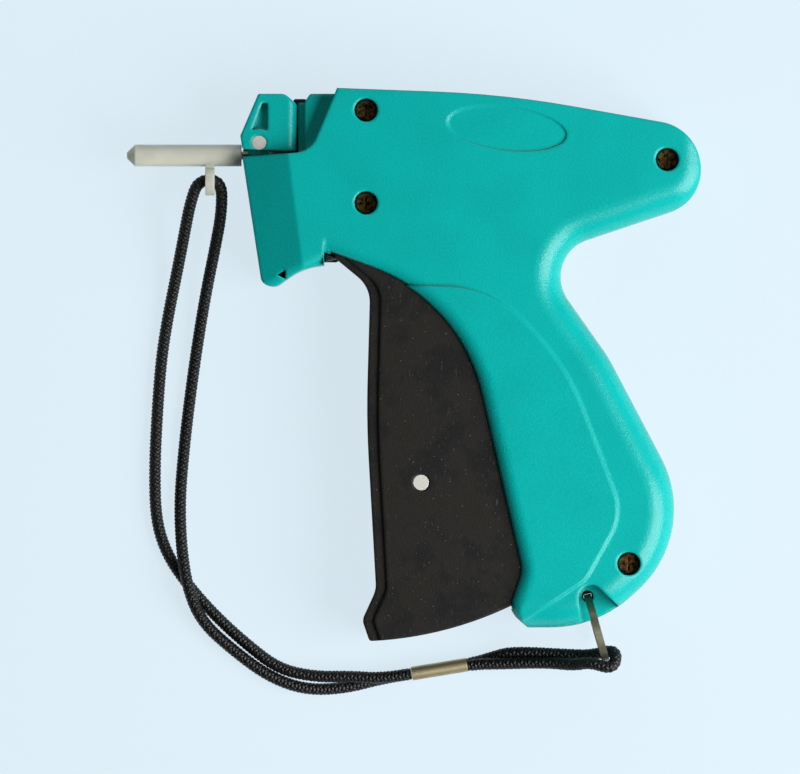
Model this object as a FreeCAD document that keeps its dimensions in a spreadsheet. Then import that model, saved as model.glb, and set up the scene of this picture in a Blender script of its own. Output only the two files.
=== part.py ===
"""Garment tag attacher: a two-shell pistol body, its trigger, the drive that pushes the rod through
the needle, the feed wheel, the needle lock, the needle cap and the wrist strap.

It lies on its right side: Z is the thickness, the right shell's flat face is at z = 0, X runs from
the needle's tip (-X) to the tail (+X) and Y from the butt (-Y) to the top of the head (+Y).
Lengths are millimetres, angles are degrees.
"""
import FreeCAD, Part
import math
import os
import Sketcher
from FreeCAD import Placement, Rotation, Vector

os.makedirs("parts", exist_ok=True)
doc = FreeCAD.newDocument("TagAttacher")
sheet = doc.addObject("Spreadsheet::Sheet", "Sizes")

# ---------------------------------------------------------------- driving dimensions

SIZES = {
    # body shells
    "half_thick": 13.0, "panel_raise": 0.8, "shell_wall": 2.2, "rear_round": 7.4, "grip_round": 4.2,
    "margin": 5.2, "margin_reach": 7.0, "cavity_front": -19.0, "facet_slope": 0.38,
    "facet_width": 13.0, "facet_x": -33.9, "facet_y": 57.5, "head_half": 7.5, "chin_round": 4.6, "chin_play": 0.6, "notch_floor": 4.5, "oval_long": 16.2, "oval_short": 5.9,
    "oval_tilt": -7.0, "oval_depth": 0.4, "oval_x": 25.2, "oval_y": 63.7, "groove_width": 1.2,
    # running and seating gaps
    "running_gap": 0.05, "seat_gap": 0.03, "side_gap": 0.2, "free_gap": 0.3,
    # casing screws
    "screw_head": 2.6, "screw_head_tall": 1.8, "screw_shank": 1.25, "screw_sunk": 4.2,
    "screw_recess": 3.15, "screw_length": 13.0, "screw_boss": 4.2, "screw_pocket": 0.9,
    "front_screw_x": -12.8, "front_high_y": 68.7, "front_low_y": 43.7,
    "tail_screw_x": 68.4, "tail_screw_y": 55.4, "butt_screw_x": 58.05, "butt_screw_y": -53.6,
    # trigger
    "pivot_x": -16.6, "pivot_y": 34.3, "pivot_pin": 2.0, "pivot_pin_half": 11.1,
    "trigger_half": 10.0, "trigger_wall": 1.8, "trigger_front": 2.4, "trigger_sole": 2.2,
    "sole_radius": 109.0, "rim_wide": 3.0, "rim_drop": 0.7,
    # linkage
    "link_pin_x": 2.0, "link_pin_y": -31.7, "link_pin": 2.1, "link_near": 2.8, "link_thick": 1.5,
    "link_hub": 4.2, "link_end_x": 32.04, "link_end_y": -15.77, "link_slack": 0.8, "link_web": 3.0,
    "axle_x": 32.8, "axle_y": 8.1, "axle_pin": 1.5, "axle_boss": 3.0, "axle_half": 11.0,
    "lever_half": 2.2, "lever_pin_x": 31.92, "lever_pin_y": -15.11, "lever_pin": 1.5,
    "lever_pin_half": 4.6, "lever_tilt": 24.0, "fork_gap": 0.55, "fork_start": 46.0,
    "fork_length": 14.0,
    # slider and push rod
    "drive_y": 56.7, "slider_x": 54.4, "slider_front": 11.0, "slider_rear": 7.8,
    "slider_tall": 9.0, "slider_half": 5.0, "slider_pin": 1.5, "slot_reach": 6.4,
    "slot_half": 2.6, "rail_thick": 1.5, "rail_near": 2.9, "rail_front": 0.5, "rail_rear": 63.0,
    "rod_radius": 0.6, "rod_seat": 4.0, "rod_tip": -26.5, "spring_wire": 0.35, "spring_radius": 2.0,
    "spring_turns": 11.0,
    # feed
    "strip_x": -31.5, "strip_wide": 2.0, "strip_half": 1.3, "web_thick": 3.0, "wheel_x": -24.7, "wheel_y": 48.3,
    "wheel_radius": 5.2, "wheel_half": 1.2, "wheel_teeth": 9.0, "tooth_gap": 0.95,
    "wheel_axle": 1.5, "wheel_axle_half": 6.0, "blade_thick": 0.6, "blade_x": -32.6,
    "blade_low": 50.5, "blade_tall": 5.1, "blade_half": 3.0,
    # needle, its lock and cap
    "needle_radius": 1.1, "needle_bore": 0.75, "needle_tip": -70.5, "needle_rear": -33.0,
    "needle_slit": 0.5, "base_radius": 2.8, "base_front": -39.2, "lock_pin_x": -41.7,
    "lock_pin_y": 60.0, "lock_pin": 1.9, "lock_ear_near": 1.4, "lock_ear_thick": 2.0,
    "lock_ear": 2.9, "lock_slot_top": 63.3, "lock_slot_rear": -38.6, "lock_depth": 2.6,
    "lock_round": 2.6, "cap_radius": 2.95, "cap_rear": -46.55, "cap_tip": -77.5, "cap_cone": 2.2,
    "cap_bore_end": -72.0, "cap_nose": 0.9, "tab_x": -55.05, "tab_thick": 2.5, "tab_y": 49.8,
    "tab_radius": 3.9, "tab_hole": 2.0, "tab_neck": 1.8,
    # strap
    "cord": 1.55, "ring_hole_x": 47.06, "ring_hole_y": -62.5, "ring_hole": 1.6, "ring_web": 2.6,
    "ring_radius": 9.5, "ring_thick": 0.9, "ring_wide": 2.0, "ring_lean": 15.8,
    "ring_play": 0.5, "ferrule_x": -0.46, "ferrule_y": -83.75, "ferrule_long": 15.2,
    "ferrule_turn": 9.3, "ferrule_wall": 0.25,
}

# Outline corners: name, x, y, radius of the rounding there (0 for a sharp corner).
OUTLINES = {
    # the back of the shells; the ends of the chain run past the other two outlines
    "back": [("top", -50, 75.76, 0), ("crown", 24.6, 73, 270), ("tail_high", 77.5, 63.6, 12.8),
             ("tail_low", 77.5, 44, 11.7), ("neck", 33.5, 29.3, 10.6), ("nape", 52.7, 2, 40),
             ("heel", 77.6, -45.3, 29.5), ("butt", 49.7, -70.9, 32), ("bottom", -50, -70.9, 0)],
    # the same back without its top, for the broad rounding that fades out at the tail's end
    "ridge": [("top", -50, 120, 0), ("tail_high", 79.9, 120, 0), ("tail_low", 79.9, 44.8, 12.5),
              ("neck", 33.5, 29.3, 10.6), ("nape", 52.7, 2, 40), ("heel", 77.6, -45.3, 29.5),
              ("butt", 49.7, -70.9, 32), ("bottom", -50, -70.9, 0)],
    # the edge that the trigger moves behind
    "grip": [("bottom", 51.4, -88.4, 0), ("cuff", 25.4, -66.2, 5), ("low", 29.0, -55.6, 8),
             ("high", 12.4, 16.9, 47), ("lip", -24.1, 30.4, 0), ("under", -24.5, 15, 0),
             ("left", -60, 15, 0), ("left_top", -60, 100, 0), ("right_top", 120, 100, 0),
             ("right", 120, -88.4, 0)],
    # the chin under the needle and the slanted edge above it
    "front": [("nose", -11.8, 95.7, 0), ("step", -27.8, 57.5, 6.7), ("shelf", -46.2, 56.2, 0),
              ("chin_tip", -41, 22, 2.5), ("chin", -37.3, 20.9, 3.2), ("hollow", -30, 26.1, 16),
              ("lip", -24.3, 26.9, 0), ("under", -10, 15, 0), ("left", -10, -95, 0),
              ("right", 125, -95, 0), ("right_top", 125, 95.7, 0)],
    "panel": [("start", -10, 21.7, 0), ("upper", 21.6, 20.9, 30), ("middle", 41.5, -0.9, 60),
              ("lower", 56.4, -40.0, 14), ("tail", 46.5, -57.9, 10), ("low", 20, -75.5, 0),
              ("out", -10, -80, 0)],
    "head_wall": [("foot", -29.4, 56.4, 0), ("side", -29.4, 71.0, 1.5), ("top", -27.9, 73.2, 1.0),
                  ("rear_top", -18.5, 73.2, 0), ("rear", -18.5, 56.4, 0)],
    "head_web": [("foot", -31.15, 55.5, 0), ("top", -31.15, 70.9, 0), ("rear_top", -28.4, 70.9, 0),
                 ("rear", -28.4, 55.5, 0)],
    # the small mould notch in the chin's lower edge
    "notch": [("low", -34.5, 23.2, 0), ("top", -34.5, 25.8, 0.2), ("left", -36.7, 24.3, 0.2)],
    "bay": [("front", -22.4, 12, 0), ("ear", -22.4, 40.4, 3), ("over", -6, 40.4, 6),
            ("knee", 24, 22.5, 30), ("back", 38.6, -20, 30), ("foot", 41.5, -72, 0),
            ("out", 10, -72, 0)],
    "scoop": [("top", 48.2, -58.3, 3), ("right", 55.2, -65.0, 0), ("out_right", 57.5, -80, 0),
              ("out_left", 46.4, -80, 0), ("left", 44.3, -61.3, 3)],
    "trigger": [("crown", -21.2, 28.9, 0.8), ("brow", -11.7, 21.1, 9), ("waist", -12.7, -14.9, 250),
                ("shin", -10.1, -60.8, 8), ("kick", -13.8, -68.9, 2.5), ("toe", -11.9, -74.5, 1),
                ("sole", 10.9, -73.3, 98), ("heel", 33.2, -61.4, 1.5), ("knee", 14.7, 18.9, 49.7),
                ("ear_rear", -12.3, 38.7, 4.3), ("ear_front", -21.1, 38.7, 4.3)],
    # the trigger's tip under the lip of the shells
    "nib": [("high", -21.0, 28.9, 0), ("tip", -23.8, 29.9, 0.3), ("low", -23.8, 27.95, 0.3),
            ("crown", -20.65, 28.7, 0), ("rear", -19.6, 28.0, 0)],
    "lever": [("foot_right", 2.7, -26.9, 3.3), ("foot_left", -4.5, -26.9, 3.3),
              ("hub_left", -4.3, 2.2, 7), ("knee_left", -4.2, 20.4, 9), ("palm_left", 14.4, 41.8, 3),
              ("tip_left", 19.6, 52.8, 0.7), ("tip_right", 26.1, 49.9, 0.7),
              ("palm_right", 21.2, 38.8, 3), ("knee_right", 1.7, 18.3, 9), ("hub_right", 4.3, 0, 7)],
    "lock": [("rear_low", -31.7, 57.75, 0.5), ("front_low", -46.2, 58.3, 0.8), ("face", -46.75, 61.9, 0.5),
             ("brow", -41.9, 73.2, 0.6), ("top", -34.7, 73.2, 3), ("rear_top", -31.5, 70.4, 0.8)],
    "window": [("tip", -40.9, 70.7, 0.2), ("rear", -39.4, 70.7, 0.2), ("rear_low", -39.4, 63.4, 0.2),
               ("front_low", -43.6, 63.4, 0.2)],
}

# Corners of the strap's routes between its crimped ends, from the lower strand to the upper one.
ROUTES = {
    "loop": [(-18.5, -87.9, 1.6), (-29.3, -88.4, 1.65), (-39.5, -84.7, 1.6), (-49.0, -77.6, 1.7),
             (-57.6, -69.6, 3.2), (-61.3, -60.4, 5.6), (-63.0, -49.5, 4.3), (-63.5, -36.5, 1.75),
             (-62.2, -21.6, 1.6), (-60.6, -8.1, 1.65), (-58.7, 5.4, 1.9), (-56.3, 19.8, 3.6),
             (-53.7, 32.0, 8.0), (-51.9, 41.5, 11.8), (-51.9, 49.9, 13.0), (-58.2, 50.1, 13.0),
             (-60.4, 44.0, 11.4), (-62.1, 35.5, 8.2), (-64.1, 25.5, 4.2), (-66.4, 14.5, 2.0),
             (-68.4, 2.5, 1.6), (-69.5, -11.5, 1.65), (-70.3, -27.5, 1.6), (-70.0, -42.0, 1.65),
             (-66.9, -51.6, 1.6), (-60.9, -60.2, 1.62), (-53.5, -68.4, 1.7), (-45.2, -75.9, 1.9),
             (-36.2, -82.0, 2.4), (-26.8, -83.8, 3.3), (-17.0, -83.8, 4.4)],
    "bight": [(31.3, -76.86, 4.03), (44.6, -79.42, 9.43), (55.58, -76.33, 12.54), (53.97, -82.24, 18.91),
              (44.6, -81.17, 13.82), (31.3, -80.86, 13.98)],
}

OBJECTS = []


def add_value(row, alias, value):
    """Write one driving dimension into the sheet under its alias."""
    sheet.set(f"A{row}", alias)
    sheet.set(f"B{row}", repr(value))
    sheet.setAlias(f"B{row}", alias)


class Size:
    """A length with the sheet expression that gives it."""

    def __init__(self, value, text):
        self.value = value
        self.text = text

    def __add__(self, other):
        other = as_size(other)
        return Size(self.value + other.value, f"({self.text} + {other.text})")

    def __sub__(self, other):
        other = as_size(other)
        return Size(self.value - other.value, f"({self.text} - {other.text})")

    def __mul__(self, other):
        other = as_size(other)
        return Size(self.value * other.value, f"({self.text} * {other.text})")

    def __truediv__(self, other):
        other = as_size(other)
        return Size(self.value / other.value, f"({self.text} / {other.text})")

    def __neg__(self):
        return Size(-self.value, f"(0 - {self.text})")


def as_size(value):
    """Return value as a Size."""
    return value if isinstance(value, Size) else Size(float(value), f"({float(value)!r})")


def fill_sheet():
    """Put every driving dimension into the sheet and return them by alias."""
    values = dict(SIZES)
    for outline, corners in OUTLINES.items():
        for corner, x, y, radius in corners:
            values[f"{outline}_{corner}_x"] = float(x)
            values[f"{outline}_{corner}_y"] = float(y)
            if radius:
                values[f"{outline}_{corner}_round"] = float(radius)
    for route, points in ROUTES.items():
        for i, point in enumerate(points):
            for axis, value in zip("xyz", point):
                values[f"{route}_p{i}_{axis}"] = value
    for row, (alias, value) in enumerate(values.items(), start=1):
        add_value(row, alias, value)
    doc.recompute()
    return {alias: Size(float(sheet.get(alias)), f"Sizes.{alias}") for alias in values}


D = fill_sheet()
MID = D["half_thick"]


# ---------------------------------------------------------------- building blocks

def new(kind, name):
    """Add a document object."""
    item = doc.addObject(kind, name)
    OBJECTS.append(item)
    return item


def bind(item, field, size):
    """Tie a property of an object to the sheet."""
    item.setExpression(field, as_size(size).text)


def place(item, x=0, y=0, z=0, turn=None):
    """Put an object at a point, with an optional fixed rotation."""
    if turn is not None:
        item.Placement = Placement(Vector(0, 0, 0), turn)
    for axis, size in zip("xyz", (x, y, z)):
        bind(item, f"Placement.Base.{axis}", size)


def span(side, near, far):
    """Return the low level and the height of what lies near..far from the parting plane."""
    near = as_size(near)
    far = as_size(far)
    return (MID + near, far - near) if side > 0 else (MID - far, far - near)


def both(half):
    """Return the low level and the height of what reaches half each side of the parting plane."""
    half = as_size(half)
    return MID - half, half * 2


def corners_of(outline, x=0, y=0):
    """Return an outline's corners as sizes, moved by x, y."""
    corners = []
    for corner, _, _, radius in OUTLINES[outline]:
        key = f"{outline}_{corner}"
        rounding = D[f"{key}_round"] if radius else None
        corners.append((D[f"{key}_x"] + x, D[f"{key}_y"] + y, rounding))
    return corners


def corner_ends(corners):
    """Return for each corner the start, end and centre of its rounding."""
    points = [Vector(x.value, y.value, 0) for x, y, _ in corners]
    ends = []
    for i, (_, _, rounding) in enumerate(corners):
        if rounding is None:
            ends.append((points[i], points[i], None))
            continue
        back = (points[i - 1] - points[i]).normalize()
        ahead = (points[(i + 1) % len(points)] - points[i]).normalize()
        half = back.getAngle(ahead) / 2
        reach = rounding.value / math.tan(half)
        centre = points[i] + (back + ahead).normalize() * (rounding.value / math.sin(half))
        ends.append((points[i] + back * reach, points[i] + ahead * reach, centre))
    return points, ends


def draw_outline(sketch, corners):
    """Draw a closed outline of straight lines and tangent arcs, fully held by the sheet."""
    points, ends = corner_ends(corners)
    count = len(corners)
    shapes = [Part.LineSegment(ends[i][1], ends[(i + 1) % count][0]) for i in range(count)]
    arcs = {}
    for i, (start, end, centre) in enumerate(ends):
        if centre is None:
            continue
        first = math.atan2(start.y - centre.y, start.x - centre.x)
        last = math.atan2(end.y - centre.y, end.x - centre.x)
        leftward = (start - centre).cross(end - centre).z > 0
        circle = Part.Circle(centre, Vector(0, 0, 1), corners[i][2].value)
        arcs[i] = (len(shapes), leftward)
        shapes.append(Part.ArcOfCircle(circle, first, last) if leftward
                      else Part.ArcOfCircle(circle, last, first))
    sketch.addGeometry(shapes, False)
    rules = []
    ties = []
    for i, (x, y, rounding) in enumerate(corners):
        before = (i - 1) % count
        if i in arcs:
            arc, leftward = arcs[i]
            start, end = (1, 2) if leftward else (2, 1)
            point = sketch.addGeometry(Part.Point(points[i]), True)
            rules.append(Sketcher.Constraint("Tangent", before, 2, arc, start))
            rules.append(Sketcher.Constraint("Tangent", i, 1, arc, end))
            rules.append(Sketcher.Constraint("PointOnObject", point, 1, before))
            rules.append(Sketcher.Constraint("PointOnObject", point, 1, i))
            ties.append((len(rules), rounding))
            rules.append(Sketcher.Constraint("Radius", arc, rounding.value))
        else:
            point = i
            rules.append(Sketcher.Constraint("Coincident", before, 2, i, 1))
        ties.append((len(rules), x))
        rules.append(Sketcher.Constraint("DistanceX", -1, 1, point, 1, points[i].x))
        ties.append((len(rules), y))
        rules.append(Sketcher.Constraint("DistanceY", -1, 1, point, 1, points[i].y))
    sketch.addConstraint(rules)
    for index, size in ties:
        bind(sketch, f"Constraints[{index}]", size)


def outline_sketch(name, corners, x=0, y=0, z=0):
    """Make a sketch of an outline parallel to the parting plane."""
    sketch = new("Sketcher::SketchObject", name)
    draw_outline(sketch, corners)
    place(sketch, x, y, z)
    return sketch


def raised(name, base, height, direction=(0, 0, 1)):
    """Extrude a sketch or a flat shape along a direction."""
    solid = new("Part::Extrusion", name)
    solid.Base = base
    solid.DirMode = "Custom"
    solid.Dir = Vector(*direction)
    solid.Solid = True
    bind(solid, "LengthFwd", height)
    return solid


def slab(name, corners, low, height, x=0, y=0):
    """Make a flat solid of an outline."""
    return raised(name, outline_sketch(name + "_outline", corners, x, y, low), height)


def grown(name, base, amount):
    """Offset a flat outline; a negative amount shrinks it."""
    ring = new("Part::Offset2D", name)
    ring.Source = base
    ring.Join = 0
    bind(ring, "Value", amount)
    return ring


TURNS = {"x": Rotation(Vector(0, 1, 0), 90), "y": Rotation(Vector(1, 0, 0), -90), "z": Rotation()}


def rod(name, radius, length, x, y, z, axis="z"):
    """Make a cylinder that starts at a point and runs along an axis."""
    item = new("Part::Cylinder", name)
    bind(item, "Radius", radius)
    bind(item, "Height", length)
    place(item, x, y, z, TURNS[axis])
    return item


def cone(name, start, end, length, x, y, z, axis="z"):
    """Make a cone that starts at a point and runs along an axis."""
    item = new("Part::Cone", name)
    bind(item, "Radius1", start)
    bind(item, "Radius2", end)
    bind(item, "Height", length)
    place(item, x, y, z, TURNS[axis])
    return item


def block(name, low, size, turn=None):
    """Make a box from its low corner and its three lengths."""
    item = new("Part::Box", name)
    for field, length in zip(("Length", "Width", "Height"), size):
        bind(item, field, length)
    place(item, *low, turn)
    return item


def cut(name, base, *tools):
    """Cut tools from a base."""
    item = new("Part::Cut", name)
    item.Base = base
    item.Tool = tools[0] if len(tools) == 1 else join(name + "_tools", *tools)
    return item


def join(name, *pieces):
    """Fuse pieces into one."""
    item = new("Part::MultiFuse", name)
    item.Shapes = list(pieces)
    return item


def shared(name, first, second):
    """Keep what two pieces share."""
    item = new("Part::Common", name)
    item.Base = first
    item.Tool = second
    return item


def rounded(name, base, radius, pick):
    """Round the edges of a base for which pick(edge) is true."""
    doc.recompute()
    item = new("Part::Fillet", name)
    item.Base = base
    item.Edges = [(i, radius.value, radius.value)
                  for i, edge in enumerate(base.Shape.Edges, start=1) if pick(edge)]
    return item


PARTS = {}


def part(node, item):
    """Register the finished piece of a node."""
    item.Label = node
    PARTS[node] = item
    return item


# ---------------------------------------------------------------- body shells

DEEP = D["trigger_half"] + D["free_gap"]
SKETCHES = {name: outline_sketch(name + "_line", corners_of(name), z=MID)
            for name in ("back", "ridge", "grip", "front")}
INNER = {
    "back": grown("back_inner", SKETCHES["back"], -D["shell_wall"]),
    "back_deep": grown("back_deep", SKETCHES["back"], -D["margin"]),
    "grip": grown("grip_inner", SKETCHES["grip"], -D["shell_wall"]),
    "front": grown("front_inner", SKETCHES["front"], -D["shell_wall"]),
}
# sides of the outlines that only close them, far from the body
OPEN_SIDES = {
    "ridge": [("bottom", "top"), ("top", "tail_high")],
    "grip": [("lip", "under"), ("under", "left"), ("left", "left_top"), ("left_top", "right_top"),
             ("right_top", "right"), ("right", "bottom")],
}
SCREWS = {
    "front_high": (D["front_screw_x"], D["front_high_y"]),
    "front_low": (D["front_screw_x"], D["front_low_y"]),
    "tail": (D["tail_screw_x"], D["tail_screw_y"]),
    "butt": (D["butt_screw_x"], D["butt_screw_y"]),
}
FACET_LEAN = 0.13
CHIN_LEAN = 0.449


def middle_of(outline, first, last):
    """Return the middle of the side between two corners of an outline."""
    ends = [Vector(D[f"{outline}_{c}_x"].value, D[f"{outline}_{c}_y"].value, 0) for c in (first, last)]
    return (ends[0] + ends[1]) / 2


def rim_solid(name, outline, side, reach, radius):
    """Raise an outline and round its outer rim, but not the sides that only close it."""
    prism = raised(name + "_prism", SKETCHES[outline], reach, (0, 0, side))
    face = MID.value + side * reach.value
    closed = [middle_of(outline, first, last) for first, last in OPEN_SIDES[outline]]

    def on_rim(edge):
        middle = edge.CenterOfMass
        if abs(edge.BoundBox.ZMin - face) > 1e-4 or abs(edge.BoundBox.ZMax - face) > 1e-4:
            return False
        return all(math.hypot(middle.x - c.x, middle.y - c.y) > 1e-3 for c in closed)

    return rounded(name, prism, radius, on_rim)


def facet_tool(name, side, reach):
    """Make the wedge that slopes the front of a shell down towards the chin's edge."""
    crease = D["facet_x"]
    run = D["facet_width"] + 12
    levels = [reach, reach - run * D["facet_slope"], reach + 4, reach + 4]
    places = [crease, crease - run, crease - run, crease]
    corners = [(x - FACET_LEAN * 6, MID + level * side, None) for x, level in zip(places, levels)]
    sketch = new("Sketcher::SketchObject", name + "_outline")
    draw_outline(sketch, corners)
    place(sketch, y=D["facet_y"] + 6, turn=Rotation(Vector(1, 0, 0), 90))
    return raised(name, sketch, 60 * math.hypot(FACET_LEAN, 1), (FACET_LEAN, -1, 0))


def chin_tool(name, side, reach):
    """Make the tool that rounds the chin's lower edge, level from the lip and down the front slope."""
    crease = D["facet_x"] + (D["facet_y"] - D["front_lip_y"]) * FACET_LEAN
    back = D["front_lip_x"] - crease
    low = D["front_lip_y"] - D["chin_play"] - back * CHIN_LEAN
    tall = D["chin_round"]
    top = MID + reach * side
    past = MID + (reach + 2) * side
    deep = MID + (reach - tall) * side
    corners = [(low - 12, past, None), (low + tall, past, None), (low + tall, top, None),
               (low, top, tall * 0.98), (low, deep, None), (low - 12, deep, None)]
    runs = []
    for label, way, drop, long in (("level", 1, 0, back), ("slope", -1, D["facet_slope"].value, as_size(25))):
        sketch = new("Sketcher::SketchObject", f"{name}_{label}_outline")
        draw_outline(sketch, corners)
        sketch.Placement = Placement(Vector(0, 0, 0), Rotation(0.5, 0.5, 0.5, 0.5))
        bind(sketch, "Placement.Base.x", crease)
        aim = (way, way * CHIN_LEAN, -drop * side)
        runs.append(raised(f"{name}_{label}", sketch, long * math.hypot(*aim), aim))
    return join(name, *runs)


def outer_form(name, side, reach):
    """Make the solid outer form of a shell up to a reach from the parting plane."""
    up = (0, 0, side)
    ridge = rim_solid(name + "_ridge", "ridge", side, reach, D["rear_round"])
    grip = rim_solid(name + "_grip", "grip", side, reach, D["grip_round"])
    back = raised(name + "_back", SKETCHES["back"], reach, up)
    front = raised(name + "_front", SKETCHES["front"], reach, up)
    rear = shared(name + "_rear", shared(name + "_sides", ridge, grip), back)
    whole = shared(name + "_whole", rear, front)
    return cut(name, whole, facet_tool(name + "_facet", side, reach), chin_tool(name + "_chin", side, reach))


def cavity(name, side):
    """Make the room inside a shell: shallow along the rounded back, deep elsewhere."""
    up = (0, 0, side)
    edge = raised(name + "_edge", INNER["back"], D["margin_reach"], up)
    deep = raised(name + "_deep", INNER["back_deep"], DEEP, up)
    grip = raised(name + "_grip", INNER["grip"], DEEP, up)
    front = raised(name + "_front", INNER["front"], DEEP, up)
    low, tall = span(side, 0, DEEP)
    keep = block(name + "_keep", (D["cavity_front"], -100, low), (200, 220, tall))
    room = shared(name + "_room", join(name + "_steps", edge, deep), shared(name + "_mouth", grip, front))
    return shared(name, room, keep)


def trigger_bay(name, side):
    """Make the opening that the trigger swings through, ending on the sole's arc."""
    low, tall = span(side, 0, DEEP)
    opening = slab(name + "_opening", corners_of("bay"), low, tall)
    swing = rod(name + "_swing", D["sole_radius"] + D["free_gap"], tall, D["pivot_x"], D["pivot_y"], low)
    return shared(name, opening, swing)


def bosses(name, side):
    """Make the posts and ribs inside a shell."""
    posts = []
    for key, (x, y) in SCREWS.items():
        low, tall = span(side, 0, DEEP + D["screw_pocket"])
        posts.append(rod(f"{name}_{key}", D["screw_boss"], tall, x, y, low))
    low, tall = span(side, D["lever_half"] + D["side_gap"], DEEP + D["screw_pocket"])
    posts.append(rod(name + "_axle", D["axle_boss"], tall, D["axle_x"], D["axle_y"], low))
    low, tall = span(side, D["rail_near"], DEEP + D["screw_pocket"])
    long = D["rail_rear"] - D["rail_front"]
    half = D["slider_tall"] / 2 + D["side_gap"]
    posts.append(block(name + "_rail_high", (D["rail_front"], D["drive_y"] + half, low),
                       (long, D["rail_thick"], tall)))
    posts.append(block(name + "_rail_low", (D["rail_front"], D["drive_y"] - half - D["rail_thick"], low),
                       (long, D["rail_thick"], tall)))
    low, tall = span(side, D["slider_half"] + D["side_gap"], DEEP + D["screw_pocket"])
    posts.append(block(name + "_rail_side", (D["rail_front"], D["drive_y"] - D["rail_thick"], low),
                       (long, D["rail_thick"] * 2, tall)))
    return join(name, *posts)


def butt_fill(name, side, reach, form):
    """Make the solid corner of the butt that the strap ring's hole goes through."""
    low, tall = span(side, 0, reach)
    corner = block(name + "_corner", (D["ring_hole_x"] - 5.5, -90, low), (19, 42, tall))
    swing = rod(name + "_swing", D["sole_radius"] + D["free_gap"] * 2, tall, D["pivot_x"], D["pivot_y"], low)
    return shared(name, cut(name + "_rest", corner, swing), form)


def head_pieces(name, side):
    """Make the head wall and the strip's web behind the lock lever, and the ear for the lever's pin."""
    low, tall = span(side, 0, D["head_half"])
    wall = slab(name + "_wall", corners_of("head_wall"), low, tall)
    low, tall = span(side, D["strip_half"], D["strip_half"] + D["web_thick"])
    web = slab(name + "_web", corners_of("head_web"), low, tall)
    low, tall = span(side, D["lock_ear_near"], D["lock_ear_near"] + D["lock_ear_thick"])
    ear = rod(name + "_ear", D["lock_ear"], tall, D["lock_pin_x"], D["lock_pin_y"], low)
    foot = block(name + "_ear_foot", (D["lock_pin_x"] - D["lock_ear"], D["front_step_y"] - 3, low),
                 (D["lock_ear"] * 2, D["lock_pin_y"] - D["front_step_y"] + 3, tall))
    return [wall, web, ear, foot]


def drive_holes(name, side):
    """Make the cuts along the needle's line, the strip's slot and the feed wheel's room."""
    y = D["drive_y"]
    tools = []
    tools.append(rod(name + "_needle", D["needle_radius"] + D["seat_gap"] * 3, 12, -50, y, MID, "x"))
    tools.append(rod(name + "_base", D["base_radius"] + D["seat_gap"],
                     D["needle_rear"] - D["base_front"] + D["seat_gap"] * 2,
                     D["base_front"] - D["seat_gap"], y, MID, "x"))
    tools.append(rod(name + "_push", D["rod_radius"] + D["seat_gap"] * 5,
                     D["cavity_front"] - D["needle_rear"] + 2, D["needle_rear"] - 0.5, y, MID, "x"))
    low, tall = span(side, 0, D["strip_half"])
    tools.append(block(name + "_strip", (D["strip_x"], 10, low), (D["strip_wide"], 80, tall)))
    low, tall = span(side, 0, D["wheel_half"] + D["side_gap"])
    tools.append(rod(name + "_wheel", D["wheel_radius"] + D["free_gap"], tall,
                     D["wheel_x"], D["wheel_y"], low))
    low, tall = span(side, 0, D["wheel_axle_half"] + D["seat_gap"])
    tools.append(rod(name + "_wheel_axle", D["wheel_axle"] + D["seat_gap"], tall,
                     D["wheel_x"], D["wheel_y"], low))
    low, tall = span(side, 0, D["blade_half"] + D["seat_gap"])
    tools.append(block(name + "_blade", (D["blade_x"] - D["seat_gap"], D["blade_low"] - D["seat_gap"], low),
                       (D["blade_thick"] + D["seat_gap"] * 2, 9, tall)))
    return tools


def pin_holes(name, side):
    """Make the blind holes of the trigger's pivot, the drive lever's axle and the lock's pin."""
    tools = []
    low, tall = span(side, 0, D["pivot_pin_half"] + D["seat_gap"])
    tools.append(rod(name + "_pivot", D["pivot_pin"] + D["seat_gap"], tall, D["pivot_x"], D["pivot_y"], low))
    low, tall = span(side, 0, D["axle_half"] + D["seat_gap"])
    tools.append(rod(name + "_axle", D["axle_pin"] + D["seat_gap"], tall, D["axle_x"], D["axle_y"], low))
    low, tall = span(side, 0, D["head_half"])
    tools.append(rod(name + "_lock", D["lock_pin"] + D["seat_gap"], tall,
                     D["lock_pin_x"], D["lock_pin_y"], low))
    return tools


def ring_pocket(name, side, reach):
    """Make the scoop in the butt and the hole in its web for the strap ring."""
    low, tall = span(side, D["ring_web"], reach + 5)
    scoop = slab(name + "_scoop", corners_of("scoop"), low, tall)
    low, tall = span(side, 0, reach + 1)
    hole = rod(name + "_hole", D["ring_hole"], tall, D["ring_hole_x"], D["ring_hole_y"], low)
    return [scoop, hole]


def oval_pad(name, side, reach):
    """Make the shallow bare oval recess."""
    oval = new("Part::Ellipse", name + "_line")
    bind(oval, "MajorRadius", D["oval_long"])
    bind(oval, "MinorRadius", D["oval_short"])
    low, tall = span(side, reach - D["oval_depth"], reach + 1)
    place(oval, D["oval_x"], D["oval_y"], low, Rotation(Vector(0, 0, 1), D["oval_tilt"].value))
    return raised(name, oval, tall)


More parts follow.
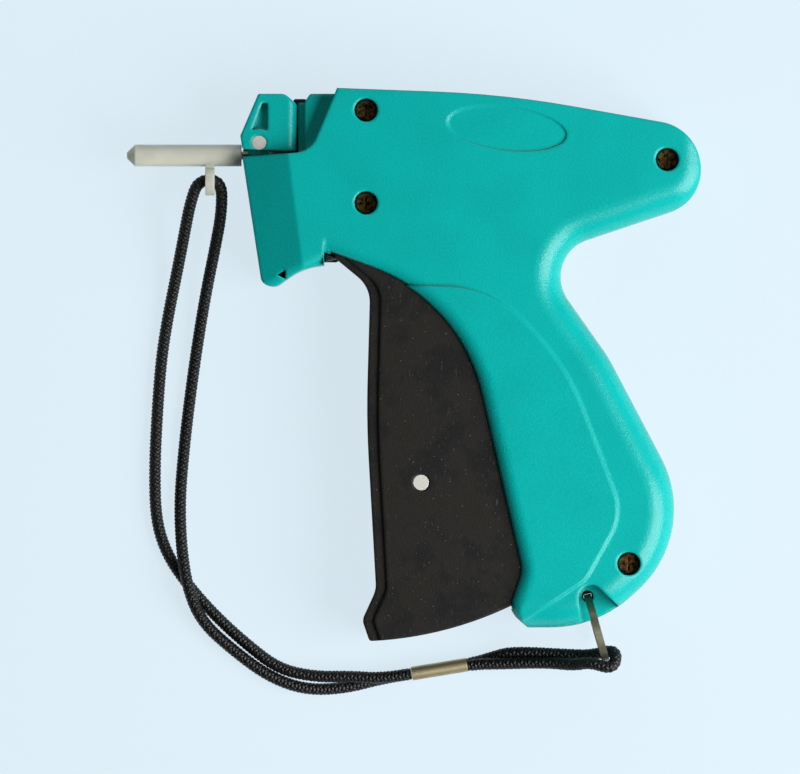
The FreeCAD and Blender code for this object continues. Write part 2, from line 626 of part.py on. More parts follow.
def left_shell():
    """Make the upper shell: raised palm panel and the recesses of the screw heads."""
    reach = D["half_thick"] - D["panel_raise"]
    form = outer_form("left_form", 1, reach)
    palm = outer_form("left_palm", 1, D["half_thick"])
    panel = shared("left_panel", palm, slab("left_panel_area", corners_of("panel"), MID, D["half_thick"] + 1))
    solid = join("left_solid", form, panel, *head_pieces("left_head", 1))
    hollow = cut("left_hollow", solid, cavity("left_cavity", 1), trigger_bay("left_bay", 1))
    posts = shared("left_posts", bosses("left_boss", 1), form)
    fill = butt_fill("left_butt", 1, reach, form)
    built = join("left_built", hollow, posts, fill)
    seat = reach - D["screw_sunk"] - D["screw_head_tall"]
    tools = drive_holes("left", 1) + pin_holes("left_pin", 1) + ring_pocket("left_ring", 1, reach)
    tools.append(oval_pad("left_oval", 1, reach))
    tools.append(slab("left_notch", corners_of("notch"), MID + D["notch_floor"], reach))
    for key, (x, y) in SCREWS.items():
        low, tall = span(1, seat, D["half_thick"] + 2)
        tools.append(rod(f"left_{key}_recess", D["screw_recess"], tall, x, y, low))
        low, tall = span(1, 0, D["half_thick"])
        tools.append(rod(f"left_{key}_hole", D["screw_shank"] + D["side_gap"], tall, x, y, low))
    return part("left_casing", cut("left_casing", built, *tools))


def right_shell():
    """Make the lower shell: flat outside, its palm panel marked by a groove, pilot holes inside."""
    reach = D["half_thick"]
    form = outer_form("right_form", -1, reach)
    solid = join("right_solid", form, *head_pieces("right_head", -1))
    hollow = cut("right_hollow", solid, cavity("right_cavity", -1), trigger_bay("right_bay", -1))
    posts = shared("right_posts", bosses("right_boss", -1), form)
    fill = butt_fill("right_butt", -1, reach, form)
    built = join("right_built", hollow, posts, fill)
    tools = drive_holes("right", -1) + pin_holes("right_pin", -1) + ring_pocket("right_ring", -1, reach)
    tools.append(oval_pad("right_oval", -1, reach))
    low, tall = span(-1, reach - D["panel_raise"], reach + 1)
    line = outline_sketch("right_groove_line", corners_of("panel"), z=low)
    inner = raised("right_groove_inner", grown("right_groove_offset", line, -D["groove_width"]), tall)
    tools.append(cut("right_groove", raised("right_groove_outer", line, tall), inner))
    seat = D["half_thick"] - D["panel_raise"] - D["screw_sunk"] - D["screw_head_tall"]
    for key, (x, y) in SCREWS.items():
        low, tall = span(-1, 0, D["screw_length"] - seat + D["free_gap"])
        tools.append(rod(f"right_{key}_pilot", D["screw_shank"] + D["seat_gap"], tall, x, y, low))
    return part("right_casing", cut("right_casing", built, *tools))


def casing_screws():
    """Make the four screws that close the shells, each a solid of its own."""
    seat = D["half_thick"] - D["panel_raise"] - D["screw_sunk"] - D["screw_head_tall"]
    screws = []
    for key, (x, y) in SCREWS.items():
        head = rod(f"screw_{key}_head", D["screw_head"], D["screw_head_tall"], x, y, MID + seat)
        shank = rod(f"screw_{key}_shank", D["screw_shank"], D["screw_length"], x, y,
                    MID + seat - D["screw_length"])
        long = D["screw_head"] * 1.4
        thin = D["screw_head_tall"] / 3
        slots = [block(f"screw_{key}_slot_{i}", (x - wide / 2, y - deep / 2, MID + seat + thin * 1.5),
                       (wide, deep, D["screw_head_tall"]))
                 for i, (wide, deep) in enumerate(((long, thin), (thin, long)))]
        screws.append(cut(f"screw_{key}", join(f"screw_{key}_solid", head, shank), *slots))
    group = new("Part::Compound", "casing_screws")
    group.Links = screws
    return part("casing_screws", group)


# ---------------------------------------------------------------- trigger and linkage

def trigger():
    """Make the hollow trigger: a stepped front rim, two side walls and a sole, open at the back."""
    low, tall = both(D["trigger_half"] - D["rim_drop"])
    rim = slab("trigger_rim", corners_of("trigger"), low, tall)
    nib = slab("trigger_nib", corners_of("nib"), low, tall)
    low, tall = both(D["trigger_half"])
    full = slab("trigger_full", corners_of("trigger"), low, tall)
    plate = shared("trigger_plate", full, slab("trigger_moved", corners_of("trigger"), low, tall, D["rim_wide"]))
    outer = join("trigger_outer", rim, nib, plate)
    low, tall = both(D["trigger_half"] - D["trigger_wall"])
    inner = slab("trigger_inner", corners_of("trigger"), low, tall, D["trigger_front"], D["trigger_sole"])
    low, tall = both(D["trigger_half"] + 1)
    pivot = rod("trigger_pivot_hole", D["pivot_pin"] + D["running_gap"], tall, D["pivot_x"], D["pivot_y"], low)
    link = rod("trigger_link_hole", D["link_pin"] + D["seat_gap"], tall, D["link_pin_x"], D["link_pin_y"], low)
    return part("trigger", cut("trigger", outer, inner, pivot, link))


def pins():
    """Make the straight pins."""
    for node, key, x, y, half in (
            ("trigger_pivot_pin", "pivot_pin", "pivot_x", "pivot_y", "pivot_pin_half"),
            ("trigger_link_pin", "link_pin", "link_pin_x", "link_pin_y", "trigger_half"),
            ("drive_lever_axle", "axle_pin", "axle_x", "axle_y", "axle_half"),
            ("lever_link_pin", "lever_pin", "lever_pin_x", "lever_pin_y", "lever_pin_half"),
            ("needle_lock_pin", "lock_pin", "lock_pin_x", "lock_pin_y", "head_half"),
            ("feed_wheel_axle", "wheel_axle", "wheel_x", "wheel_y", "wheel_axle_half")):
        low, tall = both(D[half])
        part(node, rod(node, D[key], tall, D[x], D[y], low))
    low, tall = both(D["slider_half"] - D["seat_gap"] * 2)
    part("slider_pin", rod("slider_pin", D["slider_pin"], tall, D["slider_x"], D["drive_y"], low))


def bar(name, start, end, half, low, tall):
    """Make a flat bar between two points."""
    run = Vector(end[0].value - start[0].value, end[1].value - start[1].value, 0)
    aim = math.atan2(run.y, run.x)
    corner = (start[0] + half * math.sin(aim), start[1] - half * math.cos(aim), low)
    turn = Rotation(Vector(0, 0, 1), math.degrees(aim))
    return block(name, corner, (run.Length, half * 2, tall), turn)


def drive_link():
    """Make the two plates that carry the trigger's push to the drive lever."""
    plates = []
    start = (D["link_pin_x"], D["link_pin_y"])
    end = (D["link_end_x"], D["link_end_y"])
    hole = D["lever_pin"] + D["link_slack"]
    for label, side in (("left", 1), ("right", -1)):
        low, tall = span(side, D["link_near"], D["link_near"] + D["link_thick"])
        name = f"link_{label}"
        solid = join(name + "_solid", rod(name + "_hub", D["link_hub"], tall, *start, low),
                     rod(name + "_eye", hole + D["axle_pin"] + D["side_gap"], tall, *end, low),
                     bar(name + "_web", start, end, D["link_web"], low, tall))
        tools = [rod(name + "_hub_hole", D["link_pin"] + D["running_gap"], tall, *start, low),
                 rod(name + "_eye_hole", hole, tall, *end, low)]
        plates.append(part(f"drive_link_{label}", cut(name, solid, *tools)))
    return plates


def drive_lever():
    """Make the bowed lever: its foot follows the links, its fork throws the slider."""
    low, tall = both(D["lever_half"])
    solid = slab("lever_solid", corners_of("lever"), low, tall, D["axle_x"], D["axle_y"])
    aim = math.radians(90 - D["lever_tilt"].value)
    half = D["slider_pin"] + D["fork_gap"]
    start = (D["axle_x"] + D["fork_start"] * math.cos(aim) + half * math.sin(aim),
             D["axle_y"] + D["fork_start"] * math.sin(aim) - half * math.cos(aim), low)
    slot = block("lever_slot", start, (D["fork_length"], half * 2, tall),
                 Rotation(Vector(0, 0, 1), math.degrees(aim)))
    axle = rod("lever_axle_hole", D["axle_pin"] + D["running_gap"], tall, D["axle_x"], D["axle_y"], low)
    pin = rod("lever_pin_hole", D["lever_pin"] + D["seat_gap"], tall, D["lever_pin_x"], D["lever_pin_y"], low)
    return part("drive_lever", cut("drive_lever", solid, slot, axle, pin))


def slider():
    """Make the slider: two cheeks either side of the fork, joined in front and behind."""
    low, tall = both(D["slider_half"])
    y = D["drive_y"] - D["slider_tall"] / 2
    front = D["slider_x"] - D["slider_front"]
    solid = block("slider_solid", (front, y, low), (D["slider_front"] + D["slider_rear"], D["slider_tall"], tall))
    low, tall = both(D["slot_half"])
    slot = block("slider_slot", (D["slider_x"] - D["slot_reach"], y - 1, low),
                 (D["slot_reach"] * 2, D["slider_tall"] + 2, tall))
    low, tall = both(D["slider_half"] + 1)
    pin = rod("slider_pin_hole", D["slider_pin"] + D["seat_gap"], tall, D["slider_x"], D["drive_y"], low)
    seat = rod("slider_rod_hole", D["rod_radius"] + D["seat_gap"], D["rod_seat"] + D["seat_gap"],
               front, D["drive_y"], MID, "x")
    return part("slider", cut("slider", solid, slot, pin, seat))


def push_rod():
    """Make the rod that the slider pushes through the needle."""
    long = D["slider_x"] - D["slider_front"] + D["rod_seat"] - D["rod_tip"]
    return part("push_rod", rod("push_rod", D["rod_radius"], long, D["rod_tip"], D["drive_y"], MID, "x"))


def return_spring():
    """Make the coil spring between the front wall and the slider."""
    start = D["cavity_front"] + D["spring_wire"] + D["running_gap"]
    long = D["slider_x"] - D["slider_front"] - D["spring_wire"] - D["running_gap"] - start
    coil = new("Part::Helix", "spring_line")
    bind(coil, "Radius", D["spring_radius"])
    bind(coil, "Height", long)
    bind(coil, "Pitch", long / D["spring_turns"])
    wire = new("Part::Circle", "spring_wire")
    bind(wire, "Radius", D["spring_wire"])
    wire.Placement = Placement(Vector(0, 0, 0), Rotation(Vector(1, 0, 0), 90))
    bind(wire, "Placement.Base.x", D["spring_radius"])
    doc.recompute()
    sweep = new("Part::Sweep", "return_spring")
    sweep.Sections = [wire]
    sweep.Spine = (coil, [f"Edge{i}" for i in range(1, len(coil.Shape.Edges) + 1)])
    sweep.Solid = True
    sweep.Frenet = True
    place(sweep, start, D["drive_y"], MID, TURNS["x"])
    return part("return_spring", sweep)


# ---------------------------------------------------------------- feed, needle, lock and cap

def plane(body, label):
    """Return one of a body's base planes."""
    return next(item for item in body.Origin.OriginFeatures if label in item.Name)


def circle_sketch(body, name, radius, x=0.0):
    """Make a sketch of one circle on a body's XY plane, its centre on the X axis."""
    sketch = body.newObject("Sketcher::SketchObject", name)
    OBJECTS.append(sketch)
    sketch.AttachmentSupport = [(plane(body, "XY"), "")]
    sketch.MapMode = "FlatFace"
    reach = as_size(x)
    sketch.addGeometry(Part.Circle(Vector(reach.value, 0, 0), Vector(0, 0, 1), radius.value), False)
    sketch.addConstraint(Sketcher.Constraint("Radius", 0, radius.value))
    bind(sketch, "Constraints[0]", radius)
    if reach.value:
        sketch.addConstraint(Sketcher.Constraint("PointOnObject", 0, 3, -1))
        sketch.addConstraint(Sketcher.Constraint("DistanceX", -1, 1, 0, 3, reach.value))
        bind(sketch, "Constraints[2]", reach)
    else:
        sketch.addConstraint(Sketcher.Constraint("Coincident", 0, 3, -1, 1))
    return sketch


def feed_wheel():
    """Make the notched wheel that pulls the strip of fasteners along."""
    body = new("PartDesign::Body", "feed_wheel")
    tall = D["wheel_half"] * 2
    pad = body.newObject("PartDesign::Pad", "wheel_disc")
    pad.Profile = circle_sketch(body, "wheel_rim", D["wheel_radius"])
    bind(pad, "Length", tall)
    notch = body.newObject("PartDesign::Pocket", "wheel_notch")
    notch.Profile = circle_sketch(body, "wheel_notch_line", D["tooth_gap"], D["wheel_radius"])
    notch.Type = "ThroughAll"
    notch.Reversed = True
    ring = body.newObject("PartDesign::PolarPattern", "wheel_teeth")
    ring.Originals = [notch]
    ring.Axis = (plane(body, "Z_Axis"), [""])
    ring.Angle = 360
    bind(ring, "Occurrences", D["wheel_teeth"])
    body.Tip = ring
    bore = body.newObject("PartDesign::Pocket", "wheel_bore")
    bore.Profile = circle_sketch(body, "wheel_bore_line", D["wheel_axle"] + D["running_gap"])
    bore.Type = "ThroughAll"
    bore.Reversed = True
    body.Tip = bore
    OBJECTS.extend([pad, notch, ring, bore])
    place(body, D["wheel_x"], D["wheel_y"], MID - D["wheel_half"])
    return part("feed_wheel", body)


def cutter_blade():
    """Make the blade under the needle's mouth that parts each fastener from the strip."""
    low, tall = both(D["blade_half"])
    size = (D["blade_thick"], D["blade_tall"], tall)
    blank = block("blade_blank", (D["blade_x"], D["blade_low"], low), size)
    rest = block("blade_bevel", (D["blade_x"], D["blade_low"] + D["blade_tall"], low - 1), (3, 3, tall + 2),
                 Rotation(Vector(0, 0, 1), -65))
    return part("cutter_blade", cut("cutter_blade", blank, rest))


def needle():
    """Make the hollow needle with its slit and slanted tip, and the base that holds it."""
    long = D["needle_rear"] - D["needle_tip"]
    y = D["drive_y"]
    outer = rod("needle_outer", D["needle_radius"], long, D["needle_tip"], y, MID, "x")
    bore = rod("needle_inner", D["needle_bore"], long + 2, D["needle_tip"] - 1, y, MID, "x")
    slit = block("needle_slit", (D["needle_tip"] - 1, y - D["needle_slit"] / 2, MID),
                 (long + 2, D["needle_slit"], 5))
    tip = block("needle_tip", (D["needle_tip"], y - 5, MID + D["needle_radius"]), (10, 10, 5),
                Rotation(Vector(0, 1, 0), 150))
    part("needle", cut("needle", outer, bore, slit, tip))
    long = D["needle_rear"] - D["base_front"]
    hub = rod("base_outer", D["base_radius"], long, D["base_front"], y, MID, "x")
    hole = rod("base_inner", D["needle_radius"] + D["seat_gap"], long + 2, D["base_front"] - 1, y, MID, "x")
    part("needle_base", cut("needle_base", hub, hole))


def needle_lock():
    """Make the head lever that clamps the needle's base and swings up to free it."""
    low, tall = both(D["head_half"])
    solid = slab("lock_solid", corners_of("lock"), low, tall)
    edge = new("Sketcher::SketchObject", "lock_edge_outline")
    rear = D["lock_rear_low_x"] + D["side_gap"]
    corners = [(rear - 30, MID - D["head_half"], None), (rear, MID - D["head_half"], D["lock_round"]),
               (rear, MID + D["head_half"], D["lock_round"]), (rear - 30, MID + D["head_half"], None)]
    draw_outline(edge, corners)
    place(edge, y=100, turn=Rotation(Vector(1, 0, 0), 90))
    body = shared("lock_body", solid, raised("lock_edge", edge, 60, (0, -1, 0)))
    low, tall = both(D["lock_ear_near"] + D["lock_ear_thick"] + D["side_gap"])
    tools = [block("lock_slot", (-60, 40, low), (D["lock_slot_rear"] + 60, D["lock_slot_top"] - 40, tall)),
             rod("lock_groove", D["base_radius"] + D["side_gap"], 20, -50, D["drive_y"], MID, "x")]
    low, tall = both(D["head_half"] + 1)
    tools.append(rod("lock_hole", D["lock_pin"] + D["running_gap"], tall, D["lock_pin_x"], D["lock_pin_y"], low))
    for label, side in (("left", 1), ("right", -1)):
        low, tall = span(side, D["head_half"] - D["lock_depth"], D["head_half"] + 1)
        window = slab(f"lock_window_{label}", corners_of("window"), low, tall)
        boss = rod(f"lock_boss_{label}", D["lock_pin"] * 2, tall, D["lock_pin_x"], D["lock_pin_y"], low)
        tools.append(cut(f"lock_recess_{label}", window, boss))
    return part("needle_lock_lever", cut("needle_lock_lever", body, *tools))


def needle_cap():
    """Make the cap that slips over the needle, with the eye for the strap under it."""
    y = D["drive_y"]
    blunt = D["cap_tip"] + D["cap_cone"]
    barrel = rod("cap_barrel", D["cap_radius"], D["cap_rear"] - blunt, blunt, y, MID, "x")
    nose = cone("cap_nose", D["cap_nose"], D["cap_radius"], D["cap_cone"], D["cap_tip"], y, MID, "x")
    start = D["tab_x"] - D["tab_thick"] / 2
    disc = rod("cap_eye", D["tab_radius"], D["tab_thick"], start, D["tab_y"], MID, "x")
    neck = block("cap_neck", (start, D["tab_y"] + D["tab_hole"], MID - D["tab_neck"]),
                 (D["tab_thick"], y - D["tab_y"] - D["tab_hole"], D["tab_neck"] * 2))
    bore = rod("cap_bore", D["needle_radius"] + D["running_gap"], D["cap_rear"] + 1 - D["cap_bore_end"],
               D["cap_bore_end"], y, MID, "x")
    eye = rod("cap_eye_hole", D["tab_hole"], D["tab_thick"] + 2, start - 1, D["tab_y"], MID, "x")
    return part("needle_cap", cut("needle_cap", join("cap_solid", barrel, nose, disc, neck), bore, eye))


# ---------------------------------------------------------------- strap

def ferrule_point(reach, z):
    """Return the point at a distance along the ferrule's axis from its left mouth."""
    aim = math.radians(D["ferrule_turn"].value)
    return Vector(D["ferrule_x"].value + reach * math.cos(aim),
                  D["ferrule_y"].value + reach * math.sin(aim), z)


def cord_path(points):
    """Make a wire of straight runs and tangent arcs, each arc as large as its two runs allow."""
    edges = []
    last = points[0]
    for before, corner, after in zip(points, points[1:], points[2:]):
        back = before - corner
        ahead = after - corner
        reach = 0.45 * min(back.Length, ahead.Length)
        half = back.getAngle(ahead) / 2
        back = back.normalize()
        ahead = ahead.normalize()
        start = corner + back * reach
        end = corner + ahead * reach
        radius = reach * math.tan(half)
        middle = corner + (back + ahead).normalize() * (radius / math.sin(half) - radius)
        edges.append(Part.LineSegment(last, start).toShape())
        edges.append(Part.Arc(start, middle, end).toShape())
        print(f"  bend of radius {radius:.1f}")
        last = end
    edges.append(Part.LineSegment(last, points[-1]).toShape())
    return Part.Wire(edges)


def cord(node, route, ends, first, last):
    """Sweep the cord along a route whose ends are held by the ferrule."""
    points = [Vector(*(D[f"{route}_p{i}_{axis}"].value for axis in "xyz"))
              for i in range(len(ROUTES[route]))]
    points = [ferrule_point(ends[0], first), ferrule_point(ends[1], first)] + points
    points += [ferrule_point(ends[1], last), ferrule_point(ends[0], last)]
    path = cord_path(points)
    ring = Part.Circle(points[0], points[1] - points[0], D["cord"].value)
    tube = path.makePipeShell([Part.Wire(ring.toShape())], True, True)
    item = new("Part::Feature", node)
    item.Shape = tube
    item.Placement = Placement()
    section = math.pi * D["cord"].value ** 2
    print(f"{node}: volume {tube.Volume:.1f}, section times length {section * path.Length:.1f}")
    return part(node, item)


def strap_levels():
    """Return the heights of the two strands in the ferrule."""
    low = D["ferrule_wall"] + D["seat_gap"] + D["cord"]
    return low, low + D["cord"] * 2 + D["seat_gap"]


def strap_ferrule():
    """Make the crimped tube that holds the two strands one above the other."""
    low, high = strap_levels()
    turn = Rotation(Vector(0, 0, 1), D["ferrule_turn"].value)
    aim = math.radians(D["ferrule_turn"].value)
    shapes = []
    for name, radius, out in (("ferrule_outer", D["cord"] + D["seat_gap"] + D["ferrule_wall"], 0),
                              ("ferrule_inner", D["cord"] + D["seat_gap"], 1)):
        long = D["ferrule_long"] + out * 2
        x = D["ferrule_x"] - out * math.cos(aim)
        y = D["ferrule_y"] - out * math.sin(aim)
        pieces = []
        for label, z in (("low", low), ("high", high)):
            strand = rod(f"{name}_{label}", radius, long, x, y, z)
            strand.Placement = Placement(Vector(0, 0, 0), turn.multiply(TURNS["x"]))
            place(strand, x, y, z)
            pieces.append(strand)
        pieces.append(block(name + "_middle", (x + radius * math.sin(aim), y - radius * math.cos(aim), low),
                            (long, radius * 2, high - low), turn))
        shapes.append(join(name, *pieces))
    return part("strap_ferrule", cut("strap_ferrule", *shapes))


def strap_ring():
    """Make the flat ring that hangs in the butt's web."""
    lean = math.radians(D["ring_lean"].value)
    reach = D["ring_radius"] - D["ring_play"]
    x = D["ring_hole_x"] + reach * math.sin(lean)
    y = D["ring_hole_y"] - reach * math.cos(lean)
    turn = Rotation(Vector(0, 0, 1), D["ring_lean"].value).multiply(TURNS["x"])
    discs = []
    for name, radius, wide in (("ring_outer", D["ring_radius"], D["ring_wide"]),
                               ("ring_inner", D["ring_radius"] - D["ring_thick"], D["ring_wide"] + 2)):
        disc = rod(name, radius, wide, 0, 0, 0)
        disc.Placement = Placement(Vector(0, 0, 0), turn)
        place(disc, x - wide / 2 * math.cos(lean), y - wide / 2 * math.sin(lean), MID)
        discs.append(disc)
    return part("strap_ring", cut("strap_ring", *discs))


def strap():
    """Make the two stretches of cord, the ferrule and the ring."""
    low, high = (size.value for size in strap_levels())
    long = D["ferrule_long"].value
    cord("strap_loop", "loop", (-0.1, -8.0), low, high)
    cord("strap_bight", "bight", (0.2, long + 1.0), low, high)
    strap_ferrule()
    strap_ring()


# ---------------------------------------------------------------- build and export

left_shell()
right_shell()
casing_screws()
trigger()
pins()
drive_link()
drive_lever()
slider()
push_rod()
return_spring()
feed_wheel()
cutter_blade()
needle()
needle_lock()
needle_cap()
strap()
doc.recompute()

for item in OBJECTS:
    wrong = [state for state in item.State if state in ("Invalid", "Error")]
    if wrong:
        raise RuntimeError(f"{item.Name} did not recompute: {wrong}")
for node, item in PARTS.items():
    if item.Shape.isNull() or not item.Shape.isValid():
        raise RuntimeError(f"{node} has no valid shape")
    item.Shape.exportStep(f"parts/{node}.step")
    print(node, len(item.Shape.Solids), round(item.Shape.Volume, 2))
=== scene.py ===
"""Dresses the garment tag attacher: its finishes, its screws, its wrist strap and the studio round it.

Everything stands in the tool's own frame: it lies on its right side, Z up through its thickness, X from the
needle's tip to the tail, Y from the butt to the top of the head. Sizes and places are named in millimetres,
which MM turns to metres, and a comment or a docstring says where one is in metres.
"""
from __future__ import annotations

import logging
import math
from dataclasses import dataclass
from enum import Enum
from typing import Any

import bpy
import numpy as np
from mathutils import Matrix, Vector


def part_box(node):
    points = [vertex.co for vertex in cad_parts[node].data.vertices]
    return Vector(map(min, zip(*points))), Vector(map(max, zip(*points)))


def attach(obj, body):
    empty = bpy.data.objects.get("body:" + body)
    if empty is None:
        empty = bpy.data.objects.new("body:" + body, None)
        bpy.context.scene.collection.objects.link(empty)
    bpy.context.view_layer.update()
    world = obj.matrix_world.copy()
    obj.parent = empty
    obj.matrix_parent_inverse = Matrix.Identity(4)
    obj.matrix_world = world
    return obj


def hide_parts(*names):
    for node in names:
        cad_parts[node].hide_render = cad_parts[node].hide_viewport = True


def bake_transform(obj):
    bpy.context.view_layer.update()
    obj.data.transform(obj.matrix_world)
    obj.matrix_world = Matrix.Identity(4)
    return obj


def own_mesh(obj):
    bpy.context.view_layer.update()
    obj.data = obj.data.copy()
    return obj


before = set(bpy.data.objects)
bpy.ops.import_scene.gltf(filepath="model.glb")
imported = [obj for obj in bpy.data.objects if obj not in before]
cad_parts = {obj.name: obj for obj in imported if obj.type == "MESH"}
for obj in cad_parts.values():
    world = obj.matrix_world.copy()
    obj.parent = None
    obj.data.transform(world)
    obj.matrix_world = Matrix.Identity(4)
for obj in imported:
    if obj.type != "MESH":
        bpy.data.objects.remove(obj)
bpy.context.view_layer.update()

LOG = logging.getLogger("tag_attacher")
MM = 0.001
TURN = 2 * math.pi
CURVE_STEPS = 24
Pair = tuple[float, float]
Point = tuple[float, float, float]
Link = tuple[bpy.types.Node, str | int]

# a colour mix's first and second colour among its inputs, and the mixed colour among its outputs
FIRST, SECOND, MIXED = 6, 7, 2
COLOURS = {"data_type": "RGBA"}
SMOOTH = {"interpolation_type": "SMOOTHSTEP"}
ROUNDED = {"samples": 8}


# ---------------------------------------------------------------- small tools

def linear(colour: str, alpha: float = 1.0) -> tuple[float, float, float, float]:
    """Turn an sRGB hex colour to linear light.

    Args:
        colour: six hex digits after a hash sign.
        alpha: the fourth value.

    Returns:
        The colour as Blender's sockets take it.
    """
    parts = [int(colour[i:i + 2], 16) / 255 for i in (1, 3, 5)]
    red, green, blue = (p / 12.92 if p <= 0.04045 else ((p + 0.055) / 1.055) ** 2.4 for p in parts)
    return red, green, blue, alpha


def add(tree: bpy.types.NodeTree, kind: str, settings: dict[str | int, Any] | None = None,
        links: dict[str | int, Link] | None = None) -> bpy.types.Node:
    """Add a node with its settings and links.

    Args:
        tree: the material's node tree.
        kind: the node's type name.
        settings: values by the socket's name or number, or by the node's own attribute name.
        links: by input socket, the node and the output that feed it.

    Returns:
        The new node.
    """
    node = tree.nodes.new(kind)
    for name, value in (settings or {}).items():
        if isinstance(name, str) and hasattr(node, name):
            setattr(node, name, value)
        else:
            node.inputs[name].default_value = value
    for socket, (source, output) in (links or {}).items():
        tree.links.new(source.outputs[output], node.inputs[socket])
    return node


def fresh_material(name: str) -> tuple[bpy.types.Material, bpy.types.NodeTree]:
    """Make an empty node material.

    Args:
        name: the material's name.

    Returns:
        The material and its tree.
    """
    material = bpy.data.materials.new(name)
    material.use_nodes = True
    material.node_tree.nodes.clear()
    return material, material.node_tree


def per_mm(size: float) -> float:
    """Return the noise scale whose features are a size in millimetres across."""
    return 1 / (size * MM)


def object_from(name: str, data: bpy.types.ID) -> bpy.types.Object:
    """Put an object into the scene.

    Args:
        name: the object's name.
        data: its mesh, curve, lamp or camera.

    Returns:
        The new object.
    """
    thing = bpy.data.objects.new(name, data)
    bpy.context.scene.collection.objects.link(thing)
    return thing


def mesh_from(name: str, points: list[Point], faces: list[list[int]], smooth: bool = False) -> bpy.types.Mesh:
    """Make a mesh.

    Args:
        name: the mesh's name.
        points: its corners, in metres.
        faces: its faces, as lists of corner numbers.
        smooth: whether its faces are shaded as one round surface.

    Returns:
        The mesh.
    """
    mesh = bpy.data.meshes.new(name)
    mesh.from_pydata(points, [], faces)
    if smooth:
        mesh.polygons.foreach_set("use_smooth", [True] * len(mesh.polygons))
    mesh.update()
    return mesh


# ---------------------------------------------------------------- finishes

class EdgeWearAndHighlight(Enum):
    """How far an edge goes towards its paler colour: partly handling's wear, partly a painted highlight."""

    LIGHT = 0.2
    HEAVY = 0.6


@dataclass(frozen=True)
class Finish:
    """What every finish has: a name, and two colours that lie in soft patches beside each other."""

    name: str
    colour: str
    shade: str

    def build(self) -> bpy.types.Material:
        """Build the material; each finish does this in its own way."""
        raise NotImplementedError

    def material(self) -> bpy.types.Material:
        """Return the finish's material, built when it's first asked for."""
        return bpy.data.materials.get(self.name) or self.build()

    def blank(self) -> tuple[bpy.types.Material, bpy.types.NodeTree, dict[str, Link]]:
        """Start the material.

        Returns:
            The material, its tree and the link that says where on the piece a point lies.
        """
        material, tree = fresh_material(self.name)
        place = add(tree, "ShaderNodeTexCoord")
        return material, tree, {"Vector": (place, "Object")}

    def mottle(self, tree: bpy.types.NodeTree, spot: dict[str, Link], size: float, span: Pair,
               detail: float, rough: float = 0.5) -> tuple[bpy.types.Node, bpy.types.Node, bpy.types.Node]:
        """Spread the two colours in soft patches.

        Args:
            tree: the material's node tree.
            spot: the link that says where on the piece a point lies.
            size: the patches' size in millimetres.
            span: the noise values at which the first colour ends and the second begins.
            detail: how many finer layers the noise has.
            rough: how strong those layers are.

        Returns:
            The colour, the second colour's share and the noise.
        """
        cloud = add(tree, "ShaderNodeTexNoise", {"Scale": per_mm(size), "Detail": detail, "Roughness": rough},
                    spot)
        share = add(tree, "ShaderNodeMapRange", {**SMOOTH, "From Min": span[0], "From Max": span[1]},
                    {"Value": (cloud, "Fac")})
        tone = add(tree, "ShaderNodeMix", {**COLOURS, FIRST: linear(self.colour), SECOND: linear(self.shade)},
                   {"Factor": (share, "Result")})
        return tone, share, cloud


def pale_and_highlight_edges(tree: bpy.types.NodeTree, soft: bpy.types.Node, under: Link, edge: str,
               wear_and_highlight: EdgeWearAndHighlight) -> bpy.types.Node:
    """Pale a colour at the edges, where the rounded normal leaves the true one: partly wear, partly a painted
    highlight along the edge.

    Args:
        tree: the material's node tree.
        soft: the node that rounds the normal.
        under: the colour away from the edges.
        edge: the edges' sRGB colour, partly worn plastic and partly painted highlight.
        wear_and_highlight: how far the edges go towards it, as wear and painted highlight.

    Returns:
        The node with the new colour.
    """
    flat = add(tree, "ShaderNodeNewGeometry")
    turn = add(tree, "ShaderNodeVectorMath", {"operation": "DOT_PRODUCT"},
               {0: (soft, "Normal"), 1: (flat, "Normal")})
    # the paler edge is partly wear and partly a painted highlight
    rubbed_and_highlit = add(tree, "ShaderNodeMapRange",
                 {**SMOOTH, "From Min": 0.99, "From Max": 0.85, "To Max": wear_and_highlight.value},
                 {"Value": (turn, "Value")})
    return add(tree, "ShaderNodeMix", {**COLOURS, SECOND: linear(edge)},
               {"Factor": (rubbed_and_highlit, "Result"), FIRST: under})


def emboss(tree: bpy.types.NodeTree, relief: bpy.types.Node, depth: float, height: float,
           settings: dict[str | int, Any], links: dict[str | int, Link],
           soft: bpy.types.Node | None = None) -> None:
    """Emboss a material with its relief and lead it to the output.

    Args:
        tree: the material's node tree.
        relief: the noise that stands up from the surface.
        depth: how strongly it does.
        height: how high it stands, in millimetres.
        settings: the surface's own values.
        links: what feeds its colour and its roughness.
        soft: the node that rounds the normal, where the piece has edges.
    """
    under = {"Normal": (soft, "Normal")} if soft else {}
    bump = add(tree, "ShaderNodeBump", {"Strength": depth, "Distance": height * MM},
               {"Height": (relief, "Fac"), **under})
    shader = add(tree, "ShaderNodeBsdfPrincipled", settings, {**links, "Normal": (bump, "Normal")})
    add(tree, "ShaderNodeOutputMaterial", {}, {"Surface": (shader, "BSDF")})


